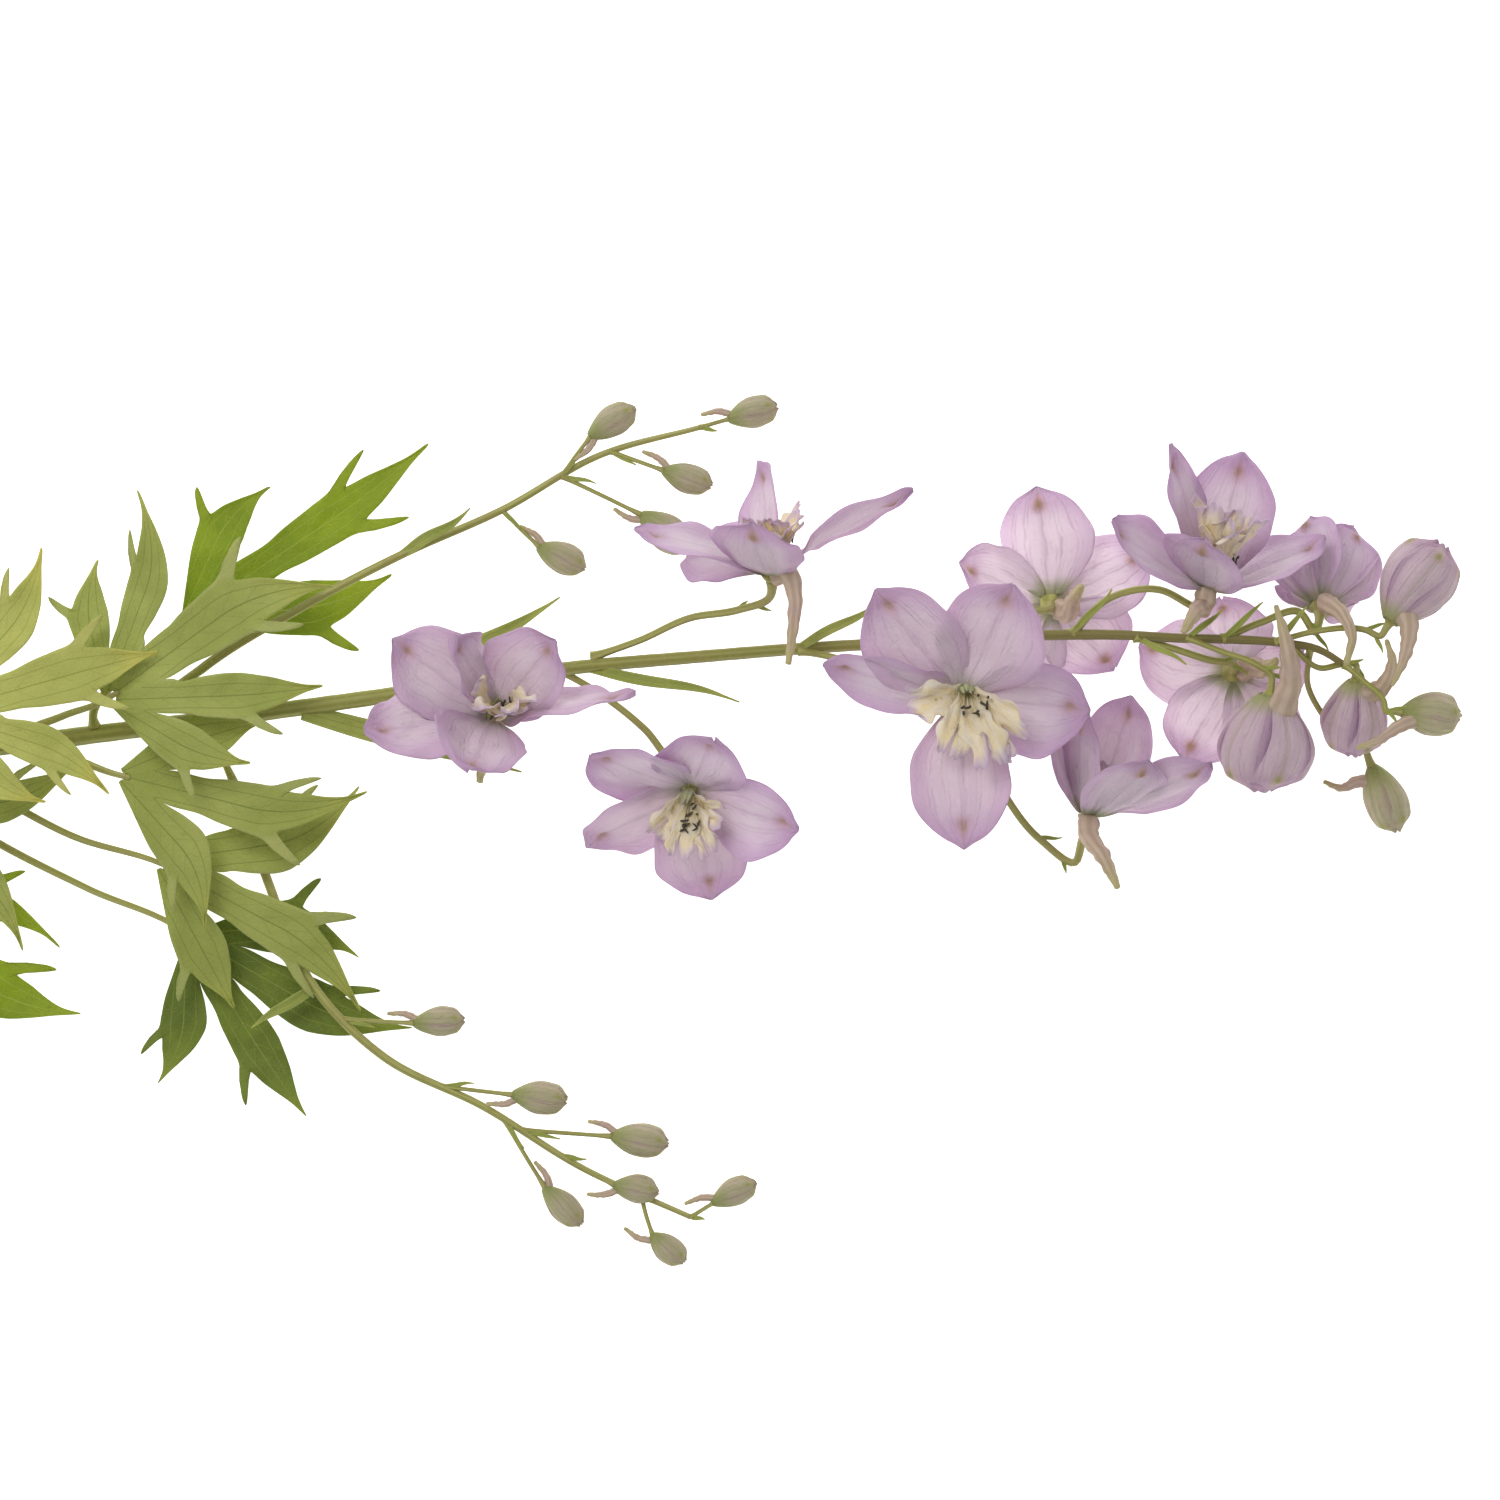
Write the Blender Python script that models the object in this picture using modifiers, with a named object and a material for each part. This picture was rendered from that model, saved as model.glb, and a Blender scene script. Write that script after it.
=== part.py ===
"""Delphinium flower spike: one cut stem with its flowers, buds, side shoots and leaves, lying on a surface.

+X runs from the cut end to the tip, +Z up from the surface. The origin is on the surface, under the middle
of the bounding box. The layout grid has steps of 0.22 mm, x to the tip and y across, growing towards -Y.
"""

import math
import random

import bmesh
import bpy
import numpy as np
from mathutils.bvhtree import BVHTree

NAME = "delphinium_flower_spike"
MM = 0.001
GRID = 0.22  # mm in one step of the layout grid
MIDDLE_X, MIDDLE_Y = 478.69, 833.03  # layout point above the origin
PETAL = 0.7  # mm, thickness of a sepal
BLADE = 0.7  # mm, thickness of a leaf blade
THIN = 0.6  # mm, thickness of a bract or inner petal
GAP = 0.35  # mm left free between neighbouring pieces
FLAT = 0.35  # mm, lowest middle height of a blade that presses on the surface
BASE_R = 2.9  # mm, radius of the green base of a flower
BASE_TOP = 0.45  # mm, its top above the roots of the sepals
FLATNESS = (2.0, 1.0, 0.1, 0.0)  # degrees below which faces are merged, the first that keeps the shell closed
SEED = 7

# Main stalk: layout x, y, then height and radius in mm
STALK = [
    (-500, 815, 2.45, 2.4), (-350, 790, 4.2, 2.35), (-150, 763, 7.5, 2.25), (0, 745, 10.5, 2.1),
    (200, 720, 14.5, 1.9), (400, 693, 18.5, 1.7), (558, 669, 22.5, 1.5), (704, 656, 25.5, 1.37),
    (806, 648, 27.0, 1.3), (930, 641, 28.0, 1.22), (1046, 635, 28.6, 1.15), (1125, 635, 29.0, 1.08),
    (1179, 638, 29.0, 1.02), (1219, 639, 29.0, 0.98), (1275, 642, 29.0, 0.9), (1320, 650, 28.5, 0.8),
    (1345, 665, 28.0, 0.7),
]

# Flowers. at: base of the flower, face: the way it looks, back: the side that carries the spur.
# sepals: turn about the face from the back side, length, half width, first and last angle of the middle
# line to the face, roll about it. eye: size and spread of the inner petals. stalk: layout points from the
# main stalk. spur: layout points after the first two.
BLOOMS = [
    dict(at=(494, 714, 33), face=(0, 0.2, 0.98), back=(0, -1, 0.2), spur=[(486, 750, 27), (479, 782, 22)],
         stalk=[(400, 693, 18.5), (440, 694, 21), (474, 712, 23)], eye=(0.85, 0.55),
         sepals=[(16, 22, 10.5, 40, 45, 0), (76, 28, 10, 65, 76, -30), (124, 26, 10, 46, 80, 0),
                 (162, 22, 8.5, 32, 56, 34), (-132, 24, 10, 38, 54, 0), (-94, 31, 8, 50, 92, 64)]),
    dict(at=(772, 573, 34), face=(0, 0.86, 0.51), back=(0.6, -0.41, 0.69),
         spur=[(801, 614, 39.5), (790, 658, 37)],
         stalk=[(592, 657, 23.2), (640, 640, 25), (690, 618, 27.5), (738, 610, 29)], eye=(0.85, 0.6),
         sepals=[(131, 30, 8.5, 57, 87, 37), (62, 24, 10.5, 36, 12, -9), (172, 25, 9.5, 85, 118, 15),
                 (-149, 26, 9, 51, 62, 26), (-73, 34, 8.5, 55, 76, 43)]),
    dict(at=(960, 698, 42), face=(0, -0.25, 0.97), back=(0, -1, 0), spur=[(966, 740, 31), (985, 772, 25)],
         stalk=[(800, 650, 27), (850, 662, 31), (905, 684, 35), (938, 688, 36)], eye=(1.3, 1.15),
         sepals=[(-158, 27, 11.5, 64, 86, 0), (144, 29, 10.5, 70, 90, 0), (4, 31, 11.2, 62, 80, 0),
                 (-86, 26, 11, 74, 96, -12), (104, 29, 9, 76, 98, 30)]),
    dict(at=(1053, 602, 11), face=(0.1, 0.3, -0.95), back=(0.8, -0.3, 0),
         spur=[(1076, 596, 20), (1082, 586, 25)], stalk=[(948, 640, 28), (985, 628, 27), (1022, 610, 23)],
         eye=(0.85, 1.0),
         sepals=[(42, 24, 10, 51, 66, 22), (-32, 22, 10.5, 60, 72, -5), (119, 24, 10.5, 59, 76, -3),
                 (-175, 22, 10, 59, 70, 13), (-101, 26, 10.5, 66, 79, -7)]),
    dict(at=(1208, 586, 32), face=(0.15, 0.85, 0.5), back=(-0.2, -0.5, 0.85),
         spur=[(1186, 628, 40), (1174, 652, 39)],
         stalk=[(1072, 634, 28.7), (1110, 598, 29), (1160, 590, 29.5), (1192, 606, 29.5)], eye=(1.0, 0.65),
         sepals=[(120, 31, 8, 26, 34, 22), (-178, 29, 10.5, 42, 22, 0), (66, 28, 9, 66, 52, 25),
                 (-120, 27, 9, 72, 62, -25), (12, 19, 10.5, 48, 18, 0)]),
    dict(at=(1235, 672, 12), face=(-0.1, -0.3, -0.95), back=(1, 0.1, 0),
         spur=[(1268, 668, 21), (1278, 660, 24)],
         stalk=[(1135, 637, 29), (1172, 648, 27), (1212, 660, 23)], eye=(0.85, 1.0),
         sepals=[(20, 20, 9.5, 56, 68, 10), (-52, 21, 9.5, 62, 76, 0), (-124, 20, 9.5, 64, 80, -12),
                 (150, 21, 9.5, 60, 72, 0), (86, 22, 10, 54, 66, 8)]),
    dict(at=(1322, 605, 22), face=(0.1, 0.75, -0.65), back=(0.52, 0.52, 0.68),
         spur=[(1342, 616, 31.5), (1350, 638, 34.8), (1344, 664, 35.5)],
         stalk=[(1222, 639, 29), (1262, 622, 28), (1300, 612, 26.5)],
         sepals=[(140, 21, 9.5, 60, 5, 0), (60, 21, 9.5, 58, -5, 0), (-12, 20, 9.5, 58, 0, 0),
                 (-84, 21, 9.5, 62, 10, 0), (-158, 20, 9.5, 60, 0, 0)]),
    dict(at=(690, 790, 20), face=(-0.2, -0.6, 0.75), back=(0.2, -1, 0),
         spur=[(704, 800, 8), (716, 812, 5.5)],
         stalk=[(558, 669, 22.5), (600, 694, 19), (645, 730, 14), (676, 764, 13)], eye=(1.1, 1.1),
         sepals=[(8, 24, 10.5, 66, 84, 4), (80, 25, 10, 66, 84, 16), (152, 26, 10.5, 56, 72, 0),
                 (-140, 24, 10.5, 58, 76, -14), (-66, 25, 10, 64, 82, 0)]),
    dict(at=(1090, 815, 20), face=(0.2, 0.93, 0.2), back=(0.1, -0.2, 1),
         spur=[(1104, 858, 27), (1118, 888, 27)],
         stalk=[(930, 641, 28), (962, 700, 23), (1000, 785, 17), (1042, 840, 15), (1078, 862, 16.5)],
         eye=(0.95, 1.0),
         sepals=[(66, 25, 10, 20, 20, 0), (122, 29, 9.5, 42, 10, 0), (-64, 29, 8.5, 50, 54, 32),
                 (-142, 27, 10.5, 24, 8, 0), (-6, 24, 9.5, 38, 25, 0)]),
]

# Buds: base, tip, half width in mm, spur points, stalk points from the main stalk
BUDS = [
    dict(base=(1270, 694, 30), tip=(1262, 792, 27), half=10.4,
         spur=[(1289, 682, 35), (1283, 640, 37.5), (1274, 606, 36)],
         stalk=[(1187, 638, 29), (1222, 652, 31), (1254, 664, 31.5)]),
    dict(base=(1390, 622, 29), tip=(1443, 543, 27), half=8.0,
         spur=[(1408, 632, 33), (1402, 658, 36), (1390, 686, 36)],
         stalk=[(1275, 642, 29), (1312, 632, 30), (1365, 630, 29.5)]),
    dict(base=(1357, 680, 23), tip=(1356, 756, 17), half=7.2,
         spur=[(1383, 686, 26.5), (1392, 664, 29), (1386, 640, 30)],
         stalk=[(1290, 644, 28.8), (1322, 668, 25.5), (1344, 664, 24.5)]),
    dict(base=(1402, 712, 27), tip=(1462, 716, 24), half=4.8,
         spur=[(1396, 728, 30), (1374, 742, 31), (1356, 748, 30)],
         stalk=[(1345, 665, 28), (1362, 680, 29.5), (1384, 702, 28)]),
    dict(base=(1376, 766, 12), tip=(1404, 832, 9), half=4.6,
         spur=[(1362, 782, 12), (1346, 788, 12), (1328, 782, 12)],
         stalk=[(1310, 648, 28.6), (1312, 690, 18), (1340, 730, 12.5), (1364, 750, 11.8)]),
]

# Side shoots: stalk (layout x, y, height, radius), small buds as root on the stalk, base, tip, half width
SHOOTS = [
    dict(stalk=[(150, 710, 16.5, 1.1), (200, 668, 18, 1.1), (300, 606, 16, 1.0), (400, 553, 13, 0.95),
                (500, 508, 10, 0.85), (600, 452, 8, 0.75), (700, 424, 6, 0.6)], bract=(470, 508, 17),
         buds=[((500, 508, 10), (536, 545, 8), (584, 566, 6), 3.4),
               ((560, 474, 9), (640, 512, 9), (690, 548, 8), 3.9),
               ((610, 449, 8), (662, 468, 10), (712, 484, 9), 3.2),
               ((560, 474, 9), (588, 434, 10), (634, 404, 9), 3.3),
               ((700, 424, 6), (728, 416, 6.5), (778, 402, 5.5), 3.4)]),
    dict(stalk=[(205, 735, 9.0, 1.1), (232, 790, 7, 1.1), (262, 880, 5.5, 1.05), (310, 990, 5, 1.0),
                (380, 1060, 5, 0.95), (480, 1110, 5, 0.85), (580, 1172, 5, 0.75), (690, 1222, 4.5, 0.6)],
         bract=(246, 1030, 7),
         buds=[((340, 1022, 5), (410, 1026, 7), (462, 1022, 6.5), 3.2),
               ((440, 1090, 5), (510, 1098, 7), (566, 1104, 6), 3.6),
               ((520, 1134, 5), (610, 1140, 6), (668, 1148, 5.5), 3.7),
               ((560, 1160, 5), (612, 1190, 6), (658, 1196, 5.5), 3.1),
               ((500, 1121, 5), (542, 1192, 5), (580, 1230, 4.5), 3.1),
               ((640, 1200, 4.8), (650, 1240, 4.8), (684, 1268, 4.4), 3.0),
               ((690, 1222, 4.5), (712, 1208, 5), (756, 1186, 4.6), 3.0)]),
]

# Leaves: stalk points, heading of the blade in degrees (0 to the tip of the spike, positive to +Y), length
# in mm, pitch at the root and drop along the blade in degrees, roll, fold of each lobe, lobes as angle and
# share of length
LEAVES = [
    dict(stalk=[(20, 734, 15), (60, 716, 20), (104, 700, 24)], heading=32, length=56, pitch=4, drop=9,
         roll=-9, fold=0.16, lobes=[(-62, 0.62), (-30, 0.86), (4, 1.0), (38, 0.82), (70, 0.55)]),
    dict(stalk=[(-170, 757, 11.5), (-120, 730, 22), (-60, 712, 30)], heading=14, length=50, pitch=3,
         drop=7, roll=-5, fold=0.2, lobes=[(-66, 0.6), (-32, 0.82), (2, 1.0), (36, 0.84), (72, 0.6)]),
    dict(stalk=[(60, 752, 13), (84, 764, 16), (112, 774, 18.5)], heading=-14, length=55, pitch=2, drop=3,
         roll=3, fold=0.14, lobes=[(-34, 0.7), (0, 1.0), (36, 0.62)]),
    dict(stalk=[(-260, 793, 6), (-200, 810, 11), (-130, 812, 14)], heading=-10, length=46, pitch=2,
         drop=6, roll=4, fold=0.2, lobes=[(-58, 0.7), (-22, 0.95), (14, 1.0), (50, 0.62)]),
    dict(stalk=[(-60, 770, 8), (0, 802, 9), (70, 838, 9.5), (150, 862, 10)], heading=-22, length=56,
         pitch=0, drop=4, roll=2, fold=0.14, lobes=[(-40, 0.66), (-6, 1.0), (30, 0.84)]),
    dict(stalk=[(-110, 778, 5.5), (-30, 832, 3.6), (80, 890, 2.6), (180, 936, 1.6)], heading=-40,
         length=54, pitch=1, drop=5, roll=0, fold=0.1,
         lobes=[(-52, 0.62), (-18, 0.9), (10, 1.0), (44, 0.7)]),
    dict(stalk=[(-320, 808, 4.5), (-240, 856, 6.5), (-160, 892, 7)], heading=-40, length=60, pitch=3,
         drop=17, roll=5, fold=0.16, lobes=[(-60, 0.6), (-26, 0.86), (4, 1.0), (36, 0.8), (66, 0.5)]),
    dict(stalk=[(90, 716, 14), (120, 672, 11), (176, 620, 9)], heading=32, length=68, pitch=-2, drop=5,
         roll=0, fold=0.14, lobes=[(-26, 0.7), (2, 1.0), (34, 0.52)]),
]

# Narrow leaves and bracts of the main stalk: root, tip (layout x, y, height), half width in mm, sag in mm
NARROW = [
    ((300, 712, 17.5), (520, 772, 12), 2.4, -3.0), ((395, 688, 19.5), (560, 598, 21), 2.0, -3.0),
    ((585, 667, 23), (740, 700, 25), 1.2, 2.0), ((800, 647, 27.4), (884, 600, 33), 1.0, 2.0),
    ((955, 640, 28.6), (1040, 668, 33), 0.8, 1.5), ((1075, 630, 29.2), (1112, 590, 33), 0.7, 1.5),
    ((1140, 639, 29.2), (1186, 664, 33), 0.6, 1.0), ((1190, 636, 29.2), (1222, 610, 33), 0.6, 1.0),
    ((1225, 637, 29.2), (1262, 602, 32), 0.6, 1.0), ((1278, 641, 29), (1306, 606, 33), 0.6, 1.0),
]

# Outline of a leaf lobe from where it parts from its neighbours to its tip: share of length, share of width
# on the side toward the middle of the leaf, then share of width and forward shift on the outer side, which
# bears the tooth. PALM holds the shares of length of the undivided part.
TEETH = [(0.38, 0.84, 0.84, 0.0), (0.49, 1.08, 1.0, 0.02), (0.58, 1.15, 1.8, 0.15), (0.69, 1.02, 0.92, 0.0),
         (0.83, 0.62, 0.58, 0.0), (1.0, 0.05, 0.05, 0.0)]
PALM = (0.05, 0.27)

# Inner petals of a flower: turn, length, half width, lean at the foot and curl along it
EYE_PETALS = [(27, 11.0, 2.1, 14, 46), (-23, 11.0, 2.2, 12, 46), (86, 9.5, 2.8, 18, 56),
              (-77, 9.5, 2.7, 20, 54)]

COLOURS = {
    "stem": ("stalk green", (0.30, 0.34, 0.10), 0.55),
    "sepals": ("sepal lilac", (0.60, 0.42, 0.60), 0.6),
    "eye": ("eye cream", (0.72, 0.60, 0.42), 0.65),
    "bud": ("bud lilac green", (0.46, 0.38, 0.36), 0.6),
    "side_shoot": ("shoot green", (0.36, 0.36, 0.18), 0.6),
    "leaf": ("leaf green", (0.20, 0.30, 0.08), 0.55),
}

rng = random.Random(SEED)


def point(x, y, z):
    return np.array([(x - MIDDLE_X) * GRID, (MIDDLE_Y - y) * GRID, z])


def unit(vector):
    vector = np.asarray(vector, float)
    return vector / np.linalg.norm(vector)


def axes(face, back):
    """Rows: across, back and face directions of a flower."""
    z = unit(face)
    y = np.asarray(back, float)
    y = unit(y - z * (y @ z))
    return np.array([np.cross(y, z), y, z])


def smooth(knots, count):
    """Cubic curve through the knots, resampled evenly by length."""
    knots = np.asarray(knots, float)
    chord = np.r_[0, np.cumsum(np.linalg.norm(np.diff(knots[:, :3], axis=0), axis=1))]
    slope = np.gradient(knots, chord, axis=0)
    s = np.linspace(0, chord[-1], count)
    i = np.clip(np.searchsorted(chord, s, side="right") - 1, 0, len(knots) - 2)
    h = (chord[i + 1] - chord[i])[:, None]
    t = (s - chord[i])[:, None] / h
    return (
        (2 * t**3 - 3 * t**2 + 1) * knots[i] + (t**3 - 2 * t**2 + t) * h * slope[i]
        + (3 * t**2 - 2 * t**3) * knots[i + 1] + (t**3 - t**2) * h * slope[i + 1]
    )


def link(mesh, name, pieces):
    obj = bpy.data.objects.new(name, mesh)
    pieces.objects.link(obj)
    return obj


def tube(path, pieces, sides=6):
    """Round stalk along a path of x, y, z and radius in mm."""
    path = np.asarray(path, float)
    curve = bpy.data.curves.new("tube", "CURVE")
    curve.dimensions = "3D"
    curve.twist_mode = "MINIMUM"
    curve.bevel_depth = MM
    curve.bevel_resolution = (sides - 4) // 2
    curve.use_fill_caps = True
    line = curve.splines.new("POLY")
    line.points.add(len(path) - 1)
    for knot, (x, y, z, radius) in zip(line.points, path):
        knot.co = (x * MM, y * MM, z * MM, 1)
        knot.radius = radius
    source = link(curve, "tube", bpy.context.scene.collection)
    bpy.context.view_layer.update()
    mesh = bpy.data.meshes.new_from_object(source.evaluated_get(bpy.context.evaluated_depsgraph_get()))
    bpy.data.objects.remove(source)
    bpy.data.curves.remove(curve)
    shell = bmesh.new()
    shell.from_mesh(mesh)
    bmesh.ops.remove_doubles(shell, verts=shell.verts, dist=1e-6)
    bmesh.ops.recalc_face_normals(shell, faces=shell.faces)
    shell.to_mesh(mesh)
    shell.free()
    return link(mesh, "tube", pieces)


def sheet(nets, thickness, pieces):
    """Blade of even thickness about nets of points, rows by columns. Nets that share an edge are one."""
    shell = bmesh.new()
    for net in nets:
        rows, columns = net.shape[:2]
        made = bmesh.ops.create_grid(shell, x_segments=columns - 1, y_segments=rows - 1, size=1)["verts"]
        for vert, co in zip(sorted(made, key=lambda v: v.index), net.reshape(-1, 3)):
            vert.co = co * MM
    bmesh.ops.remove_doubles(shell, verts=shell.verts, dist=1e-5)
    bmesh.ops.recalc_face_normals(shell, faces=shell.faces)
    mesh = bpy.data.meshes.new("sheet")
    shell.to_mesh(mesh)
    shell.free()
    obj = link(mesh, "sheet", pieces)
    wall = obj.modifiers.new("thickness", "SOLIDIFY")
    wall.thickness = thickness * MM
    wall.offset = 0
    apply(obj)
    keep_above(obj)


def loft(rings, pieces):
    """Closed shell through rings of points in mm, with flat ends."""
    rings = np.asarray(rings, float)
    count, sides = rings.shape[:2]
    shell = bmesh.new()
    verts = [[shell.verts.new(co * MM) for co in ring] for ring in rings]
    for low, high in zip(verts, verts[1:]):
        for k in range(sides):
            j = (k + 1) % sides
            shell.faces.new((low[k], low[j], high[j], high[k]))
    shell.faces.new(verts[0][::-1])
    shell.faces.new(verts[-1])
    bmesh.ops.recalc_face_normals(shell, faces=shell.faces)
    mesh = bpy.data.meshes.new("loft")
    shell.to_mesh(mesh)
    shell.free()
    return link(mesh, "loft", pieces)


def apply(obj):
    """Bakes the modifiers into the mesh."""
    bpy.context.view_layer.update()
    mesh = bpy.data.meshes.new_from_object(obj.evaluated_get(bpy.context.evaluated_depsgraph_get()))
    obj.modifiers.clear()
    obj.data = mesh


def keep_above(obj):
    """Presses what would reach below the surface flat onto it."""
    mesh = obj.data
    co = np.empty(len(mesh.vertices) * 3)
    mesh.vertices.foreach_get("co", co)
    co = co.reshape(-1, 3)
    co[:, 2] = np.maximum(co[:, 2], 0.0)
    mesh.vertices.foreach_set("co", co.ravel())
    mesh.update()


def ring(centre, across, up, radius, sides, turn=0.0):
    angle = np.arange(sides) * 2 * math.pi / sides + turn
    return centre + radius * (np.cos(angle)[:, None] * across + np.sin(angle)[:, None] * up)


def middle_line(u, length, first, last, power):
    """Angle to the face direction, way out and height along a petal whose angle runs from first to last."""
    s = np.linspace(0, 1, 81)
    theta = np.radians(first + (last - first) * s**power)
    out = np.r_[0, np.cumsum((np.sin(theta[1:]) + np.sin(theta[:-1])) / 2)] / 80 * length
    rise = np.r_[0, np.cumsum((np.cos(theta[1:]) + np.cos(theta[:-1])) / 2)] / 80 * length
    return np.interp(u, s, theta), np.interp(u, s, out), np.interp(u, s, rise)


def sepal_net(u, v, turn, length, half, first, last, roll, phase, tilt=0.17, wave=0.5, cup=26.0):
    """Middle surface of a sepal in the axes of its flower.

    The middle line leaves the face direction at the angle first and ends at last. The width swells to the
    outer third and closes in a round tip. The section is an arc of radius cup, tilted so that one edge lies
    over the neighbour, and rolled about the middle line.
    """
    angle, out, rise = middle_line(u, length, first, last, 0.8)
    width = half * (0.14 * (1 - u) ** 2 + np.abs(np.sin(math.pi * np.clip(u, 0, 1) ** 1.2)) ** 0.56)
    width = np.maximum(width * (0.8 + 0.2 * np.minimum(1, u / 0.35)), 0.5)
    side = width * v
    bend = side / cup
    lift = cup * (1 - np.cos(bend)) + tilt * side * np.minimum(1.0, 0.3 + u)
    lift = lift + wave * np.sin(3.1 * side / half + 5.0 * u + phase) * u * np.abs(v)
    radial = np.array([math.sin(turn), math.cos(turn), 0.0])
    along = np.array([math.cos(turn), -math.sin(turn), 0.0])
    axis = np.array([0.0, 0.0, 1.0])
    normal = -np.cos(angle)[..., None] * radial + np.sin(angle)[..., None] * axis
    middle = (1.5 + out)[..., None] * radial + rise[..., None] * axis
    twist = np.radians(roll) * np.minimum(1, u / 0.3)
    flat = cup * np.sin(bend)
    across, height = flat * np.cos(twist) - lift * np.sin(twist), flat * np.sin(twist) + lift * np.cos(twist)
    return middle + across[..., None] * along + height[..., None] * normal


def untie(shell):
    """Where two folds touch along an edge, turns the edge of the flatter one to its other diagonal."""
    shell.normal_update()
    for edge in [e for e in shell.edges if len(e.link_faces) == 4]:
        low, high = edge.verts
        ahead, back = [], []
        for face in edge.link_faces:
            verts = list(face.verts)
            turned = verts[(verts.index(low) + 1) % 3] is high
            (ahead if turned else back).append(face)
        if len(ahead) != 2:
            continue
        pairs = [(one, other) for one in ahead for other in back]
        one, other = max(pairs, key=lambda pair: pair[0].normal.dot(pair[1].normal))
        left = next(v for v in one.verts if v not in edge.verts)
        right = next(v for v in other.verts if v not in edge.verts)
        if left is not right and not shell.edges.get((left, right)):
            bmesh.ops.delete(shell, geom=[one, other], context="FACES_ONLY")
            shell.faces.new((left, low, right))
            shell.faces.new((right, high, left))


def fill_pockets(shell):
    """Fills closed hollows inside the solid, whose walls have a volume below zero."""
    left = set(shell.faces)
    while left:
        part, waiting = set(), [next(iter(left))]
        while waiting:
            face = waiting.pop()
            if face not in part:
                part.add(face)
                waiting += [near for edge in face.edges for near in edge.link_faces]
        left -= part
        volume = sum(f.verts[0].co.dot(f.verts[1].co.cross(f.verts[2].co)) for f in part)
        if volume < 0:
            bmesh.ops.delete(shell, geom=list({vert for face in part for vert in face.verts}),
                             context="VERTS")


def crosses(shell):
    """Whether two triangles with no common corner meet."""
    shell.faces.ensure_lookup_table()
    tree = BVHTree.FromBMesh(shell, epsilon=0.0)
    corners = [set(face.verts) for face in shell.faces]
    return any(not corners[one] & corners[other] for one, other in tree.overlap(tree) if one < other)


def join(name, pieces, kind):
    """One closed solid from all pieces."""
    parts = list(pieces.objects)
    main = parts[0]
    rest = bpy.data.collections.new("rest")
    bpy.context.scene.collection.children.link(rest)
    for obj in parts[1:]:
        pieces.objects.unlink(obj)
        rest.objects.link(obj)
    if parts[1:]:
        union = main.modifiers.new("union", "BOOLEAN")
        union.operation = "UNION"
        union.operand_type = "COLLECTION"
        union.collection = rest
        union.solver = "MANIFOLD"
        apply(main)
    for obj in parts[1:]:
        bpy.data.objects.remove(obj)
    bpy.data.collections.remove(rest)
    pieces.objects.unlink(main)
    bpy.data.collections.remove(pieces)
    spike.objects.link(main)
    for flatness in FLATNESS:
        shell = bmesh.new()
        shell.from_mesh(main.data)
        if flatness:
            bmesh.ops.dissolve_limit(shell, angle_limit=math.radians(flatness), verts=shell.verts,
                                     edges=shell.edges)
        bmesh.ops.triangulate(shell, faces=shell.faces)
        untie(shell)
        fill_pockets(shell)
        whole = all(edge.is_manifold for edge in shell.edges) and not crosses(shell)
        if whole or not flatness:
            shell.to_mesh(main.data)
        shell.free()
        if whole:
            break
    keep_above(main)
    main.name = main.data.name = name
    main.data.materials.clear()
    main.data.materials.append(finish(kind))
    return main


def finish(kind):
    """The material of a node."""
    name, colour, roughness = COLOURS[kind]
    if name in bpy.data.materials:
        return bpy.data.materials[name]
    material = bpy.data.materials.new(name)
    material.use_nodes = True
    shader = material.node_tree.nodes["Principled BSDF"]
    shader.inputs["Base Color"].default_value = (*colour, 1)
    shader.inputs["Roughness"].default_value = roughness
    material.diffuse_color = (*colour, 1)
    return material


def group():
    pieces = bpy.data.collections.new("pieces")
    bpy.context.scene.collection.children.link(pieces)
    return pieces


def flower_frame(bloom):
    return point(*bloom["at"]), axes(bloom["face"], bloom["back"])


def spur(start, frame, points, pieces, first=2.2, last=0.9):
    """Hollow-looking spur behind a flower, from its back side through the given layout points."""
    knots = [(*(start + np.array([0, 2.0, -0.2]) @ frame), first * 0.9),
             (*(start + np.array([0, 3.9, -2.8]) @ frame), first)]
    ends = np.linspace(first * 0.8, last, len(points) + 1)[1:]
    knots += [(*point(*p), r) for p, r in zip(points, ends)]
    tube(smooth(knots, 5), pieces)


def make_sepals(number, bloom):
    start, frame = flower_frame(bloom)
    pieces = group()
    base = [(-2.2, 1.0), (-0.6, BASE_R), (BASE_TOP, BASE_R)]
    loft([ring(start + frame[2] * z, frame[0], frame[1], r, 7) for z, r in base], pieces)
    u, v = np.meshgrid([0.02, 0.3, 0.6, 0.86, 1.0], np.linspace(-1, 1, 4), indexing="ij")
    for k, (turn, length, half, first, last, roll) in enumerate(bloom["sepals"]):
        net = sepal_net(u, v, math.radians(turn), length, half, first, last, roll, 1.7 * k + number)
        net = start + net @ frame
        net[..., 2] = np.maximum(net[..., 2], FLAT)
        sheet([net], PETAL, pieces)
    spur(start, frame, bloom["spur"], pieces)
    return join(f"bloom_{number}_sepals", pieces, "sepals")


def eye_petal(turn, length, half, lean, curl, narrow):
    """Net of one inner petal, standing round the carpels and bent out at its lip."""
    u, v = np.meshgrid([0.0, 0.5, 1.0], [-1.0, 1.0], indexing="ij")
    _, out, rise = middle_line(u, length, lean, lean + curl, 1.4)
    out, rise = out + 1.15 * narrow, rise + 1.1
    width = half * (0.34 + 0.66 * np.sin(math.pi * (0.1 + 0.75 * u)) ** 1.5)
    radial = np.array([math.sin(turn), math.cos(turn), 0.0])
    along = np.array([math.cos(turn), -math.sin(turn), 0.0])
    axis = np.array([0.0, 0.0, 1.0])
    return out[..., None] * radial + (width * v)[..., None] * along + rise[..., None] * axis


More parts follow.
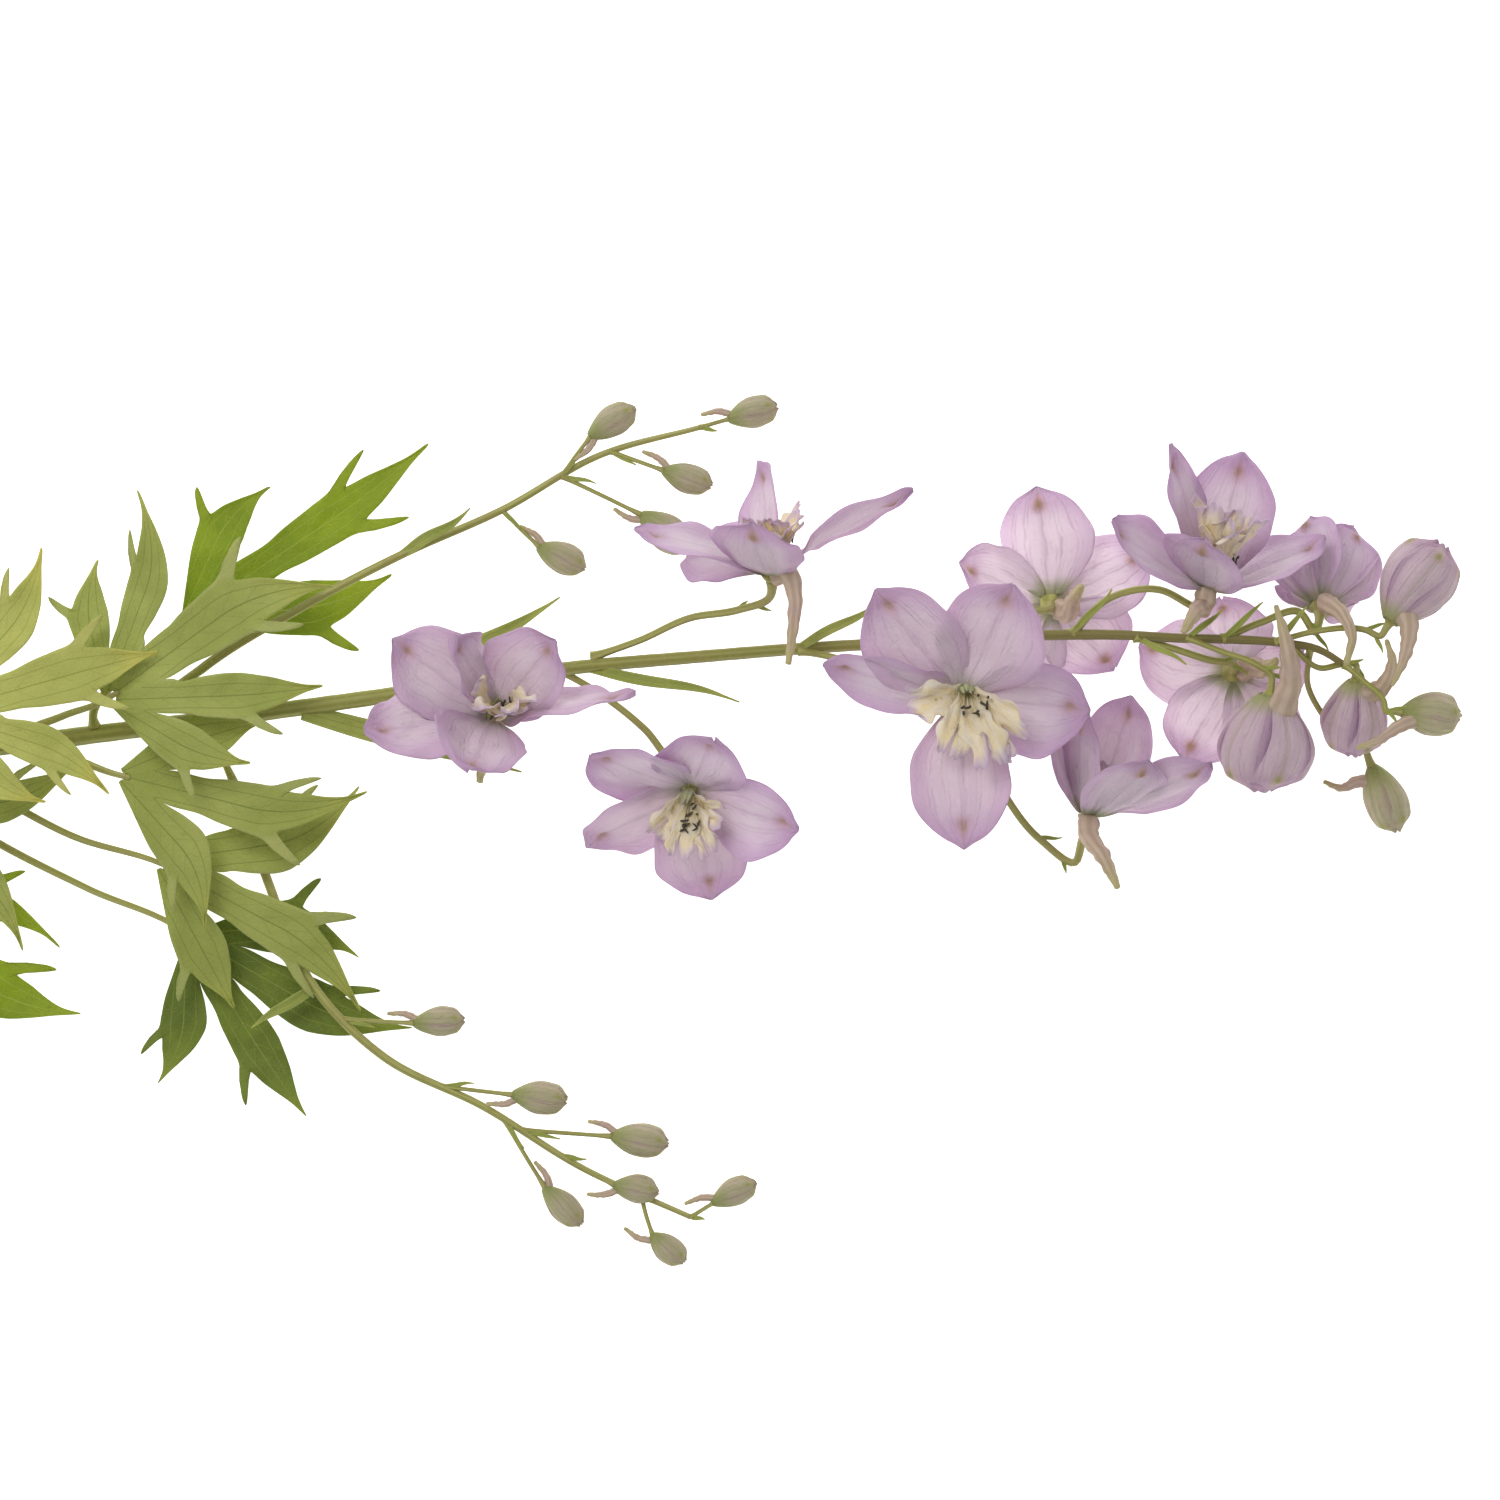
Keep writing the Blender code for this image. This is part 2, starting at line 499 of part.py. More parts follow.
def make_eye(number, bloom):
    start, frame = flower_frame(bloom)
    pieces = group()
    wide = min(1.0, max(0.4, (np.mean([s[3] for s in bloom["sepals"]]) - 30) / 34))
    narrow = 0.5 + 0.5 * wide
    core = [(BASE_TOP + GAP, 1.6 * narrow), (1.9, 1.8 * narrow), (2.1, 0.8 * narrow), (6.0, 0.4)]
    loft([ring(start + frame[2] * z, frame[0], frame[1], r, 6) for z, r in core], pieces)
    size, spread = bloom["eye"]
    for turn, length, half, lean, curl in EYE_PETALS:
        lean, curl = lean * wide * spread, curl * wide * spread
        net = eye_petal(math.radians(turn), length * size, half * size * narrow, lean, curl, narrow)
        sheet([start + net @ frame], THIN, pieces)
    for k in range(3):
        angle = math.radians(180 + (k - 1) * 60 + rng.uniform(-8, 8))
        side = np.array([math.sin(angle), math.cos(angle), 0.0])
        foot = start + (side * 1.25 * narrow + np.array([0, 0, 1.35])) @ frame
        head = start + (side * (1.2 + 1.6 * wide) + np.array([0, 0, 6.2 - 0.6 * k])) @ frame
        tube(np.array([(*foot, 0.4), (*head, 0.6)]), pieces, sides=4)
    return join(f"bloom_{number}_eye", pieces, "eye")


def bud_rings(base, tip, half, count, sides):
    """Rings of a closed bud: five sepals folded over each other leave five steps round it."""
    axis = tip - base
    length = np.linalg.norm(axis)
    axis = axis / length
    across = unit(np.cross(axis, [0.3, 0.2, 1.0]))
    up = np.cross(across, axis)
    u = np.linspace(0, 1, count)
    radius = half * np.sin(math.pi * (0.08 + 0.86 * u**0.92)) ** 0.62
    turn = np.arange(sides) * 2 * math.pi / sides
    rings = []
    for s, r in zip(u, radius):
        step = (turn * 5 / (2 * math.pi) + 0.25 * s) % 1.0
        swell = 1 + 0.14 * (step - 0.5) * math.sin(math.pi * min(1.0, 0.15 + s))
        tooth = 0.05 * length * (s > 0.85) * np.cos(5 * turn)
        rings.append(base + axis * (s * length + tooth)[:, None]
                     + (r * swell)[:, None] * (np.cos(turn)[:, None] * across + np.sin(turn)[:, None] * up))
    return rings, axis


def make_bud(number, bud):
    base, tip = point(*bud["base"]), point(*bud["tip"])
    pieces = group()
    rings, axis = bud_rings(base, tip, bud["half"], 5, 15)
    loft(rings, pieces)
    points = [point(*p) for p in bud["spur"]]
    out = points[0] - base - axis * ((points[0] - base) @ axis)
    inside = base + axis * 3.2 + unit(out) * bud["half"] * 0.35
    radius = np.linspace(0.24 * bud["half"] + 0.3, 0.6, len(points) + 1)
    knots = [(*inside, radius[0])] + [(*p, r) for p, r in zip(points, radius[1:])]
    tube(smooth(knots, 5), pieces)
    return join(f"bud_{number}", pieces, "bud")


def blade(root, tip, half, sag, pieces, rows=4):
    """Narrow pointed leaf with a folded middle, its root sunk into the stalk."""
    root, tip = point(*root), point(*tip)
    t = np.linspace(0, 1, rows)
    line = root + (tip - root) * t[:, None]
    line[:, 2] += sag * np.sin(math.pi * t)
    ahead = np.gradient(line, axis=0)
    ahead /= np.linalg.norm(ahead, axis=1)[:, None]
    side = np.cross(ahead, [0, 0, 1])
    side /= np.linalg.norm(side, axis=1)[:, None]
    lift = np.cross(side, ahead)
    width = half * (0.4 + 0.6 * np.sin(math.pi * (0.15 + 0.8 * t))) * (1 - t**3) + 0.3
    net = np.stack([line - side * width[:, None] + lift * 0.35 * width[:, None], line,
                    line + side * width[:, None] + lift * 0.35 * width[:, None]], axis=1)
    net[..., 2] = np.maximum(net[..., 2], FLAT)
    sheet([net], THIN, pieces)


def stations(knots, first, last):
    """Path of a stalk with its stations closer together near the end, where it turns into its flower."""
    radii = np.linspace(first, last, len(knots))
    path = smooth([(*p, r) for p, r in zip(knots, radii)], 101)
    return path[[0, 34, 64, 87, 100]]


def seat(knots):
    """Starts a path square to the main stalk and just off it."""
    main = smooth([(*point(x, y, z), r) for x, y, z, r in STALK], 400)
    k = int(np.argmin(np.linalg.norm(main[:, :3] - knots[0][:3], axis=1)))
    ahead = unit(main[min(k + 1, 399), :3] - main[k - 1, :3])
    out = knots[0][:3] - main[k, :3]
    out = unit(out - ahead * (out @ ahead))
    reach = main[k, 3] + GAP
    return [main[k, :3] + out * reach, main[k, :3] + out * (reach + 1.6)] + [knot[:3] for knot in knots[1:]]


def root_path(knots, first, last):
    """Path from the main stalk with its stations closer together near the root."""
    radii = np.linspace(first, last, len(knots))
    path = smooth([(*p, r) for p, r in zip(knots, radii)], 101)
    return path[[0, 4, 18, 38, 60, 81, 100]]


def stalk_to(start, frame, points, radius):
    """Flower stalk from the main stalk to just under the base of a flower."""
    ends = [start - frame[2] * 7.0 - frame[1] * 1.1, start - frame[2] * 4.4, start - frame[2] * (2.2 + GAP)]
    return stations([point(*p) for p in points] + ends, radius, radius * 1.25)


def make_stem():
    pieces = group()
    main = smooth([(*point(x, y, z), r) for x, y, z, r in STALK], 21)
    obj = tube(main, pieces, sides=8)
    for vert in obj.data.vertices:
        if vert.co.x < (main[0][0] + 1.0) * MM:
            vert.co.x += 0.9 * (vert.co.z - main[0][2] * MM)
    for bloom in BLOOMS:
        start, frame = flower_frame(bloom)
        tube(stalk_to(start, frame, bloom["stalk"], 0.72), pieces, sides=5)
    for bud in BUDS:
        base, tip = point(*bud["base"]), point(*bud["tip"])
        axis = unit(tip - base)
        ends = [base - axis * 3.6, base - axis * (GAP + 1.2), base - axis * GAP]
        knots = [point(*p) for p in bud["stalk"]] + ends
        tube(stations(knots, 0.6, 0.75), pieces, sides=5)
    for root, tip, half, sag in NARROW:
        blade(root, tip, half, sag, pieces, 4 if half > 1 else 3)
    return join("stem", pieces, "stem")


def make_shoot(number, shoot):
    pieces = group()
    knots = seat([point(x, y, z) for x, y, z, _ in shoot["stalk"]])
    radii = [shoot["stalk"][0][3]] + [r for _, _, _, r in shoot["stalk"]]
    path = smooth([(*p, r) for p, r in zip(knots, radii)], 101)
    tube(path[[0, 3, 12, 26, 40, 55, 70, 85, 100]], pieces)
    for k, (root, base, tip, half) in enumerate(shoot["buds"]):
        root, base, tip = point(*root), point(*base), point(*tip)
        rings, axis = bud_rings(base, tip, half, 4, 7)
        loft(rings, pieces)
        if np.linalg.norm(base - root) > 1.0:
            knots = [root, (root + base) / 2 + [0, 0, 0.4], base + axis * 1.0]
            tube([(*p, r) for p, r in zip(knots, (0.5, 0.5, 0.6))], pieces, sides=4)
        side = unit(np.cross(axis, [0, 0, 1])) * (1 if k % 2 else -1)
        knots = [(*(base + axis * 2.2), 0.8), (*(base - axis * 1.5 + side * 2.2), 0.7),
                 (*(base - axis * 5.5 + side * 2.6), 0.45)]
        tube(knots, pieces, sides=4)
    blade(shoot["stalk"][3][:3], shoot["bract"], 1.2, 0.5, pieces)
    return join(f"side_shoot_{number}", pieces, "side_shoot")


def lobe_nets(leaf):
    """Flat nets of the lobes with the fold as height: rows from the root, columns right, middle, left."""
    lobes = leaf["lobes"]
    angles = np.radians([a for a, _ in lobes])
    reach = np.array([r for _, r in lobes]) * leaf["length"]
    between = (angles[1:] + angles[:-1]) / 2
    turns = np.r_[2 * angles[0] - between[0], between, 2 * angles[-1] - between[-1]]
    edge = np.r_[reach[0], (reach[1:] + reach[:-1]) / 2, reach[-1]]
    nets = []
    for k, angle in enumerate(angles):
        ahead = np.array([math.cos(angle), math.sin(angle)])
        side = np.array([-ahead[1], ahead[0]])
        rows = []
        for t in PALM:
            ends = [edge[j] * t * np.array([math.cos(turns[j]), math.sin(turns[j])]) for j in (k, k + 1)]
            rise = [leaf["fold"] * edge[j] * t * 0.3 for j in (k, k + 1)]
            rows.append([[*ends[0], rise[0]], [*(reach[k] * t * ahead), 0], [*ends[1], rise[1]]])
        near = [j for j in (k - 1, k + 1) if 0 <= j < len(lobes)]
        room = min(min(reach[k], reach[j]) * math.tan(abs(angles[j] - angle) / 2) for j in near)
        wide = min(0.075 * leaf["length"] + 0.03 * reach[k], 0.42 * room)
        for t, inner, outer, shift in TEETH:
            row = [[*(reach[k] * t * ahead), 0]]
            for place, sign in ((0, -1), (2, 1)):
                toothed = sign * lobes[k][0] > -8
                width, forward = wide * (outer if toothed else inner), shift if toothed else 0
                edge_point = reach[k] * (t + forward) * ahead + sign * side * width
                row.insert(place, [*edge_point, leaf["fold"] * width])
            rows.append(row)
        nets.append(np.array(rows))
    return nets


def bend_leaf(flat, leaf, start):
    """Arches the flat blade down along its length, folds its lobes and turns it to its heading."""
    x, y = flat[..., 0], flat[..., 1]
    length = leaf["length"]
    pitch = np.radians(leaf["pitch"] - leaf["drop"] * np.linspace(0, 1, 41) * 2)
    s = np.linspace(0, 1, 41) * length
    run = np.r_[0, np.cumsum((np.cos(pitch[1:]) + np.cos(pitch[:-1])) / 2)] * length / 40
    rise = np.r_[0, np.cumsum((np.sin(pitch[1:]) + np.sin(pitch[:-1])) / 2)] * length / 40
    reach = np.clip(x, 0, length)
    z = flat[..., 2] + np.interp(reach, s, rise) + y * math.sin(math.radians(leaf["roll"])) - 0.003 * y**2
    x = np.interp(reach, s, run) + np.minimum(x, 0)
    heading = math.radians(leaf["heading"])
    out = np.stack([x * math.cos(heading) - y * math.sin(heading),
                    x * math.sin(heading) + y * math.cos(heading), z], axis=-1)
    return start + out


def make_leaf(number, leaf):
    pieces = group()
    knots = [point(*p) for p in leaf["stalk"]]
    end = knots[-1]
    heading = math.radians(leaf["heading"])
    pitch = math.radians(leaf["pitch"])
    level = np.array([math.cos(heading), math.sin(heading), 0.0])
    ahead = level * math.cos(pitch) + np.array([0.0, 0.0, math.sin(pitch)])
    tube(root_path(seat(knots) + [end + ahead * 3.4], 1.0, 0.7), pieces)
    nets = [bend_leaf(net, leaf, end) for net in lobe_nets(leaf)]
    for net in nets:
        net[..., 2] = np.maximum(net[..., 2], FLAT)
    sheet(nets, BLADE, pieces)
    return join(f"leaf_{number}", pieces, "leaf")


for old in list(bpy.data.objects):
    bpy.data.objects.remove(old)

spike = bpy.data.collections.new(NAME)
bpy.context.scene.collection.children.link(spike)

make_stem()
for index, item in enumerate(BLOOMS, 1):
    make_sepals(index, item)
    if "eye" in item:
        make_eye(index, item)
for index, item in enumerate(BUDS, 1):
    make_bud(index, item)
for index, item in enumerate(SHOOTS, 1):
    make_shoot(index, item)
for index, item in enumerate(LEAVES, 1):
    make_leaf(index, item)

low = np.full(3, 1e9)
high = -low
for obj in spike.objects:
    corners = np.array([v.co for v in obj.data.vertices])
    low, high = np.minimum(low, corners.min(axis=0)), np.maximum(high, corners.max(axis=0))
print("bounds mm", (low * 1000).round(3).tolist(), (high * 1000).round(3).tolist())
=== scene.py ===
import bpy
import numpy as np
from numpy import cos, exp, pi, radians, sin
from numpy.linalg import norm
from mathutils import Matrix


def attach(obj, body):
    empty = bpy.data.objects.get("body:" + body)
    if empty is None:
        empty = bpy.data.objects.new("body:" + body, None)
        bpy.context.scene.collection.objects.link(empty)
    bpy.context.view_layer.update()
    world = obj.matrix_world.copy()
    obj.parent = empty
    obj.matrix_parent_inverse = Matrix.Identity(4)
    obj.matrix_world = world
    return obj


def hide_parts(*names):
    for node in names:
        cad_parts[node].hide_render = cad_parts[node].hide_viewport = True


# Delphinium flower spike: finer flowers, buds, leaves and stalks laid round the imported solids.
# Lengths are in mm while a shape is worked out, and metres once it is a mesh.

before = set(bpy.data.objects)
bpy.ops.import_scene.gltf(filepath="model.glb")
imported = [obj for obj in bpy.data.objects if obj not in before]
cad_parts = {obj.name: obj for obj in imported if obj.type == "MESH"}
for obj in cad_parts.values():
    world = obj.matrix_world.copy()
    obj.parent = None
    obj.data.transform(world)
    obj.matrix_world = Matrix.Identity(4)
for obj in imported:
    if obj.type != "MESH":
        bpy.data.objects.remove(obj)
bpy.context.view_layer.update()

grid = {"step": 0.22, "middleX": 478.69, "middleY": 833.03}  # the layout grid of the spike
# thickness of each kind of blade, how thin its rim is, and the lowest heights of skins and middle surfaces
sizes = {"sepal": 0.26, "innerPetal": 0.24, "leaf": 0.36, "bract": 0.3, "rimShare": 0.45, "floor": 0.05,
         "lowPetal": 0.3, "lowLeaf": 0.35}


def place(x, y, z):
    # layout x and y with a height, as mm from the middle of the spike
    return np.array([(x - grid["middleX"]) * grid["step"], (grid["middleY"] - y) * grid["step"], float(z)])


def places(points):
    return [place(*point) for point in points]


def unit(vector):
    return np.asarray(vector, float) / norm(vector)


def column(values):
    return np.array(values, float)[:, None]


def circle(count):
    return np.arange(count) * 2 * pi / count


def flowerAxes(face, back):
    # rows: across, back and face directions of a flower
    z = unit(face)
    y = unit(back - z * (back @ z))
    return np.array([np.cross(y, z), y, z])


def hermite(t, low, high, lowSlope, highSlope):
    # cubic from low to high: h00 p0 + h10 m0 + h01 p1 + h11 m1
    return ((2 * t**3 - 3 * t**2 + 1) * low + (t**3 - 2 * t**2 + t) * lowSlope
            + (3 * t**2 - 2 * t**3) * high + (t**3 - t**2) * highSlope)


def smooth(knots, count):
    # cubic curve through the knots, stepped evenly by chord length
    knots = np.asarray(knots, float)
    chord = np.r_[0, np.cumsum(norm(np.diff(knots[:, :3], axis=0), axis=1))]
    slope = np.gradient(knots, chord, axis=0)
    s = np.linspace(0, chord[-1], count)
    i = np.clip(np.searchsorted(chord, s, side="right") - 1, 0, len(knots) - 2)
    h = (chord[i + 1] - chord[i])[:, None]
    return hermite((s - chord[i])[:, None] / h, knots[i], knots[i + 1], h * slope[i], h * slope[i + 1])


def summed(rate, length):
    # running sum of a rate along a length, by the trapezium rule
    return np.r_[0, np.cumsum((rate[1:] + rate[:-1]) / 2)] / (len(rate) - 1) * length


def ripple(x, y, seed, waves=6):
    # sum of sines in random directions: sum sin(k (x cos a + y sin a) + c) / sqrt(waves)
    pick = np.random.default_rng(seed)
    total = 0.0
    for _ in range(waves):
        angle, speed, shift = pick.uniform(0, 2 * pi), pick.uniform(0.6, 2.4), pick.uniform(0, 2 * pi)
        total = total + sin(speed * (x * cos(angle) + y * sin(angle)) + shift)
    return total / waves**0.5


def step(x, low, high):
    # 3 t^2 - 2 t^3 with t running from 0 at low to 1 at high
    t = np.clip((x - low) / (high - low), 0, 1)
    return t * t * (3 - 2 * t)


def raised(points, low):
    # nothing lies below the low height
    points[..., 2] = np.maximum(points[..., 2], low)
    return points


def netGrid(rows, columns):
    # u from 0 to 1 down the rows, v from -1 to 1 along them
    return np.meshgrid(np.linspace(0, 1, rows), np.linspace(-1, 1, columns), indexing="ij")


def netMark(along, across, value):
    # what a finish reads at each point: along, across, and one value for the whole petal
    return np.stack(np.broadcast_arrays(along, across, value), axis=-1)


def gridFaces(rows, columns, closed=False):
    # quads of a rows by columns grid, facing along d(row) x d(column)
    index = np.arange(rows * columns).reshape(rows, columns)
    if closed:
        index = np.concatenate([index, index[:, :1]], axis=1)
    return np.stack([index[:-1, :-1], index[1:, :-1], index[1:, 1:], index[:-1, 1:]], axis=-1).reshape(-1, 4)


def newBatch():
    return {"co": [], "faces": [], "slot": [], "mark": [], "count": 0}


def addFaces(batch, co, faces, slot, mark):
    # co: points, faces: quads, or triangles as quads whose last corner is -1
    batch["co"].append(co)
    batch["faces"].append(np.where(faces < 0, -1, faces + batch["count"]))
    batch["slot"].append(np.full(len(faces), slot))
    batch["mark"].append(mark)
    batch["count"] += len(co)


def addSheet(batch, nets, thickness, slot, marks):
    # a thin closed blade: the middle surface moved half its thickness to both sides, with a rim round its edge;
    # a fourth mark tells the two sides apart
    co, mark = (np.concatenate([net.reshape(-1, 3) for net in part]) for part in (nets, marks))
    starts = np.cumsum([0] + [net[..., 0].size for net in nets])
    quads = np.concatenate([gridFaces(*net.shape[:2]) + start for net, start in zip(nets, starts)])
    if len(nets) > 1:  # blades that share an edge grow together
        _, first, same = np.unique(np.round(co, 3), axis=0, return_index=True, return_inverse=True)
        co, mark, quads = co[first], mark[first], same.reshape(-1)[quads]
    a, b, c, d = (co[quads[:, k]] for k in range(4))
    lean, normal, count = np.cross(c - a, d - b), np.zeros_like(co), len(co)
    for k in range(4):
        np.add.at(normal, quads[:, k], lean)
    normal /= np.maximum(norm(normal, axis=1), 1e-9)[:, None]
    edges = np.concatenate([quads[:, [k, (k + 1) % 4]] for k in range(4)])
    rim = edges[~np.isin(edges[:, 0] * count + edges[:, 1], edges[:, 1] * count + edges[:, 0])]
    thin = np.ones(count)
    thin[rim.ravel()] = sizes["rimShare"]
    shift = normal * (thickness / 2 * thin)[:, None]
    faces = np.concatenate([quads, quads[:, ::-1] + count, np.c_[rim[:, ::-1], rim + count]])
    addFaces(batch, raised(np.concatenate([co + shift, co - shift]), sizes["floor"]), faces, slot,
             np.c_[np.tile(mark, (2, 1)), np.repeat([1.0, 0.0], count)])


def addTube(batch, path, radius, sides, slot, value=0.5, flat=1.0, ends=(0.4, 0.4)):
    # a round stalk: p(s) + r(s, a) (cos a side + sin a up), its frame carried along the path, ends domed
    path, radius = np.asarray(path, float), np.asarray(radius, float)
    count = len(path)
    radius = np.broadcast_to(radius if radius.ndim != 1 else radius[:, None], (count, sides))
    ahead = np.gradient(path, axis=0)
    ahead /= norm(ahead, axis=1)[:, None]
    side = np.empty_like(path)
    last = unit(np.cross(ahead[0], [0.31, 0.17, 1.0] if abs(ahead[0][2]) < 0.9 else [1.0, 0.2, 0.1]))
    for k in range(count):
        last = side[k] = unit(last - ahead[k] * (last @ ahead[k]))
    up, angle = np.cross(ahead, side), circle(sides)
    rings = (path[:, None] + (radius * cos(angle))[..., None] * side[:, None]
             + (radius * sin(angle) * flat)[..., None] * up[:, None])
    low = path[0] - ahead[0] * radius[0].mean() * ends[0]
    high = path[-1] + ahead[-1] * radius[-1].mean() * ends[1]
    n, ring, none = count * sides, np.arange(sides), np.full(sides, -1)
    after = (ring + 1) % sides
    caps = [np.stack([np.full(sides, n), after, ring, none], axis=1),
            np.stack([np.full(sides, n + 1), n - sides + ring, n - sides + after, none], axis=1)]
    along = np.r_[np.repeat(np.linspace(0, 1, count), sides), 0, 1]
    around = np.r_[np.tile(ring / sides, count), 0.5, 0.5]
    addFaces(batch, raised(np.concatenate([rings.reshape(-1, 3), [low, high]]), sizes["floor"]),
             np.concatenate([gridFaces(count, sides, closed=True)[:, ::-1], *caps]), slot,
             np.c_[along, around, np.full(n + 2, value), np.zeros(n + 2)])


def addObject(name, data):
    made = bpy.data.objects.new(name, data)
    bpy.context.scene.collection.objects.link(made)
    return made


def finishPiece(name, batch, finishes, node):
    # one mesh from everything in the batch, standing for its CAD node
    faces = np.concatenate(batch["faces"])
    mesh = bpy.data.meshes.new(name)
    mesh.from_pydata((np.concatenate(batch["co"]) * 0.001).tolist(), [],
                     [face[:3] if face[3] < 0 else face for face in faces.tolist()])
    for finish in finishes:
        mesh.materials.append(finish)
    mesh.polygons.foreach_set("material_index", np.concatenate(batch["slot"]).astype(np.int32))
    mesh.polygons.foreach_set("use_smooth", np.ones(len(faces), bool))
    spots = mesh.attributes.new("place", "FLOAT_COLOR", "POINT")
    spots.data.foreach_set("color", np.concatenate(batch["mark"]).astype(np.float32).ravel())
    mesh.update()
    piece = addObject(name, mesh)
    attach(piece, "root")
    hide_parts(node)
    return len(faces) * 2


def isSocket(value):
    return isinstance(value, bpy.types.NodeSocket)


def addNode(tree, kind, *values, **settings):
    # one value per input, in order: a socket is linked, anything else is set
    made = tree.nodes.new(kind)
    for key, value in settings.items():
        setattr(made, key, value)
    for k, value in enumerate(values):
        if isSocket(value):
            tree.links.new(value, made.inputs[k])
        elif value is not None:
            made.inputs[k].default_value = value
    return made


def maths(kind, *values):
    # a Math node in the tree of the first socket among its values
    tree = next(value.id_data for value in values if isSocket(value))
    return addNode(tree, "ShaderNodeMath", *values, operation=kind).outputs[0]


def times(one, other):
    return maths("MULTIPLY", one, other)


def timesPlus(one, other, more):
    return maths("MULTIPLY_ADD", one, other, more)


def rest(value):
    # what is left of 1
    return maths("SUBTRACT", 1.0, value)


def between(value, low, high, soft="SMOOTHSTEP"):
    # 0 below low, 1 above high
    made = addNode(value.id_data, "ShaderNodeMapRange", value, low, high, 0.0, 1.0, interpolation_type=soft)
    return made.outputs[0]


def blend(share, one, other):
    tree = share.id_data
    made = addNode(tree, "ShaderNodeMix", share, data_type="RGBA")
    for k, value in ((6, one), (7, other)):
        if isSocket(value):
            tree.links.new(value, made.inputs[k])
        else:
            made.inputs[k].default_value = (*value, 1)
    return made.outputs[2]


def layers(colour, look, *steps):
    # colours of the look laid over this one in turn, each by its mask times its amount
    for mask, amount, key in steps:
        colour = blend(times(mask, amount), colour, look[key])
    return colour


def newGroup(name, inputs, outputs):
    tree = bpy.data.node_groups.new(name, "ShaderNodeTree")
    for direction, labels in (("INPUT", inputs), ("OUTPUT", outputs)):
        for label in labels:
            tree.interface.new_socket(label, in_out=direction, socket_type="NodeSocketFloat")
    return tree, tree.nodes.new("NodeGroupInput").outputs, tree.nodes.new("NodeGroupOutput").inputs


def makeVeins():
    # fine lines that run along a petal and fan with its width, wandering a little
    tree, given, out = newGroup("petalVeins", ("Along", "Across", "Seed", "Count"), ("Lines", "Mottle"))

    def cloud(across, along, seed, scale, rough):
        spot = addNode(tree, "ShaderNodeCombineXYZ", times(given["Across"], across), times(given["Along"], along),
                       times(given["Seed"], seed)).outputs[0]
        return addNode(tree, "ShaderNodeTexNoise", spot, None, scale, 3.0, rough).outputs["Fac"]

    drift, broken = cloud(3.0, 2.4, 37.0, 2.0, 0.55), cloud(26.0, 5.0, 11.0, 1.0, 0.6)
    wander = timesPlus(drift, 0.1, given["Across"])
    line = maths("SINE", times(wander, given["Count"]))
    broad = maths("SINE", times(wander, times(given["Count"], 0.31)))
    both = times(timesPlus(broad, 0.55, line), between(broken, 0.3, 0.65))
    tree.links.new(between(both, -0.1, 1.5), out["Lines"])
    tree.links.new(between(drift, 0.35, 0.68), out["Mottle"])
    return tree


def makePatches():
    # small uneven patches on Object coordinates
    tree, given, out = newGroup("patches", ("Scale", "Low", "High"), ("Patches",))
    spot = addNode(tree, "ShaderNodeTexCoord").outputs["Object"]
    noise = addNode(tree, "ShaderNodeTexNoise", spot, None, given["Scale"], 4.0, 0.6).outputs["Fac"]
    tree.links.new(between(noise, given["Low"], given["High"]), out["Patches"])
    return tree


veins, patches = makeVeins(), makePatches()


def emptyTree(owner):
    owner.use_nodes = True
    owner.node_tree.nodes.clear()
    return owner.node_tree


def newFinish(name):
    # a finish and what it reads: along, across, the petal's own value, and which side
    finish = bpy.data.materials.new(name)
    tree = emptyTree(finish)
    mark = addNode(tree, "ShaderNodeAttribute", attribute_name="place", attribute_type="GEOMETRY")
    split = addNode(tree, "ShaderNodeSeparateColor", mark.outputs["Color"]).outputs
    return finish, tree, split[0], split[1], split[2], mark.outputs["Alpha"]


def speckled(tree, scale, low, high):
    return addNode(tree, "ShaderNodeGroup", scale, low, high, node_tree=patches).outputs[0]


def bump(height, strength, distance):
    made = addNode(height.id_data, "ShaderNodeBump", strength, distance)
    height.id_data.links.new(height, made.inputs["Height"])
    return made.outputs[0]


def thinShader(colour, normal, look):
    # a soft petal or blade that lets light through: surface shader and translucent shader mixed
    tree = colour.id_data
    surface = addNode(tree, "ShaderNodeBsdfPrincipled")
    surface.inputs["Roughness"].default_value = look["rough"]
    surface.inputs["Specular IOR Level"].default_value = look["gloss"]
    tree.links.new(colour, surface.inputs["Base Color"])
    tree.links.new(normal, surface.inputs["Normal"])
    if look["through"]:
        glow = addNode(tree, "ShaderNodeBsdfTranslucent", colour, normal)
        surface = addNode(tree, "ShaderNodeMixShader", look["through"], surface.outputs[0], glow.outputs[0])
    addNode(tree, "ShaderNodeOutputMaterial", surface.outputs[0])


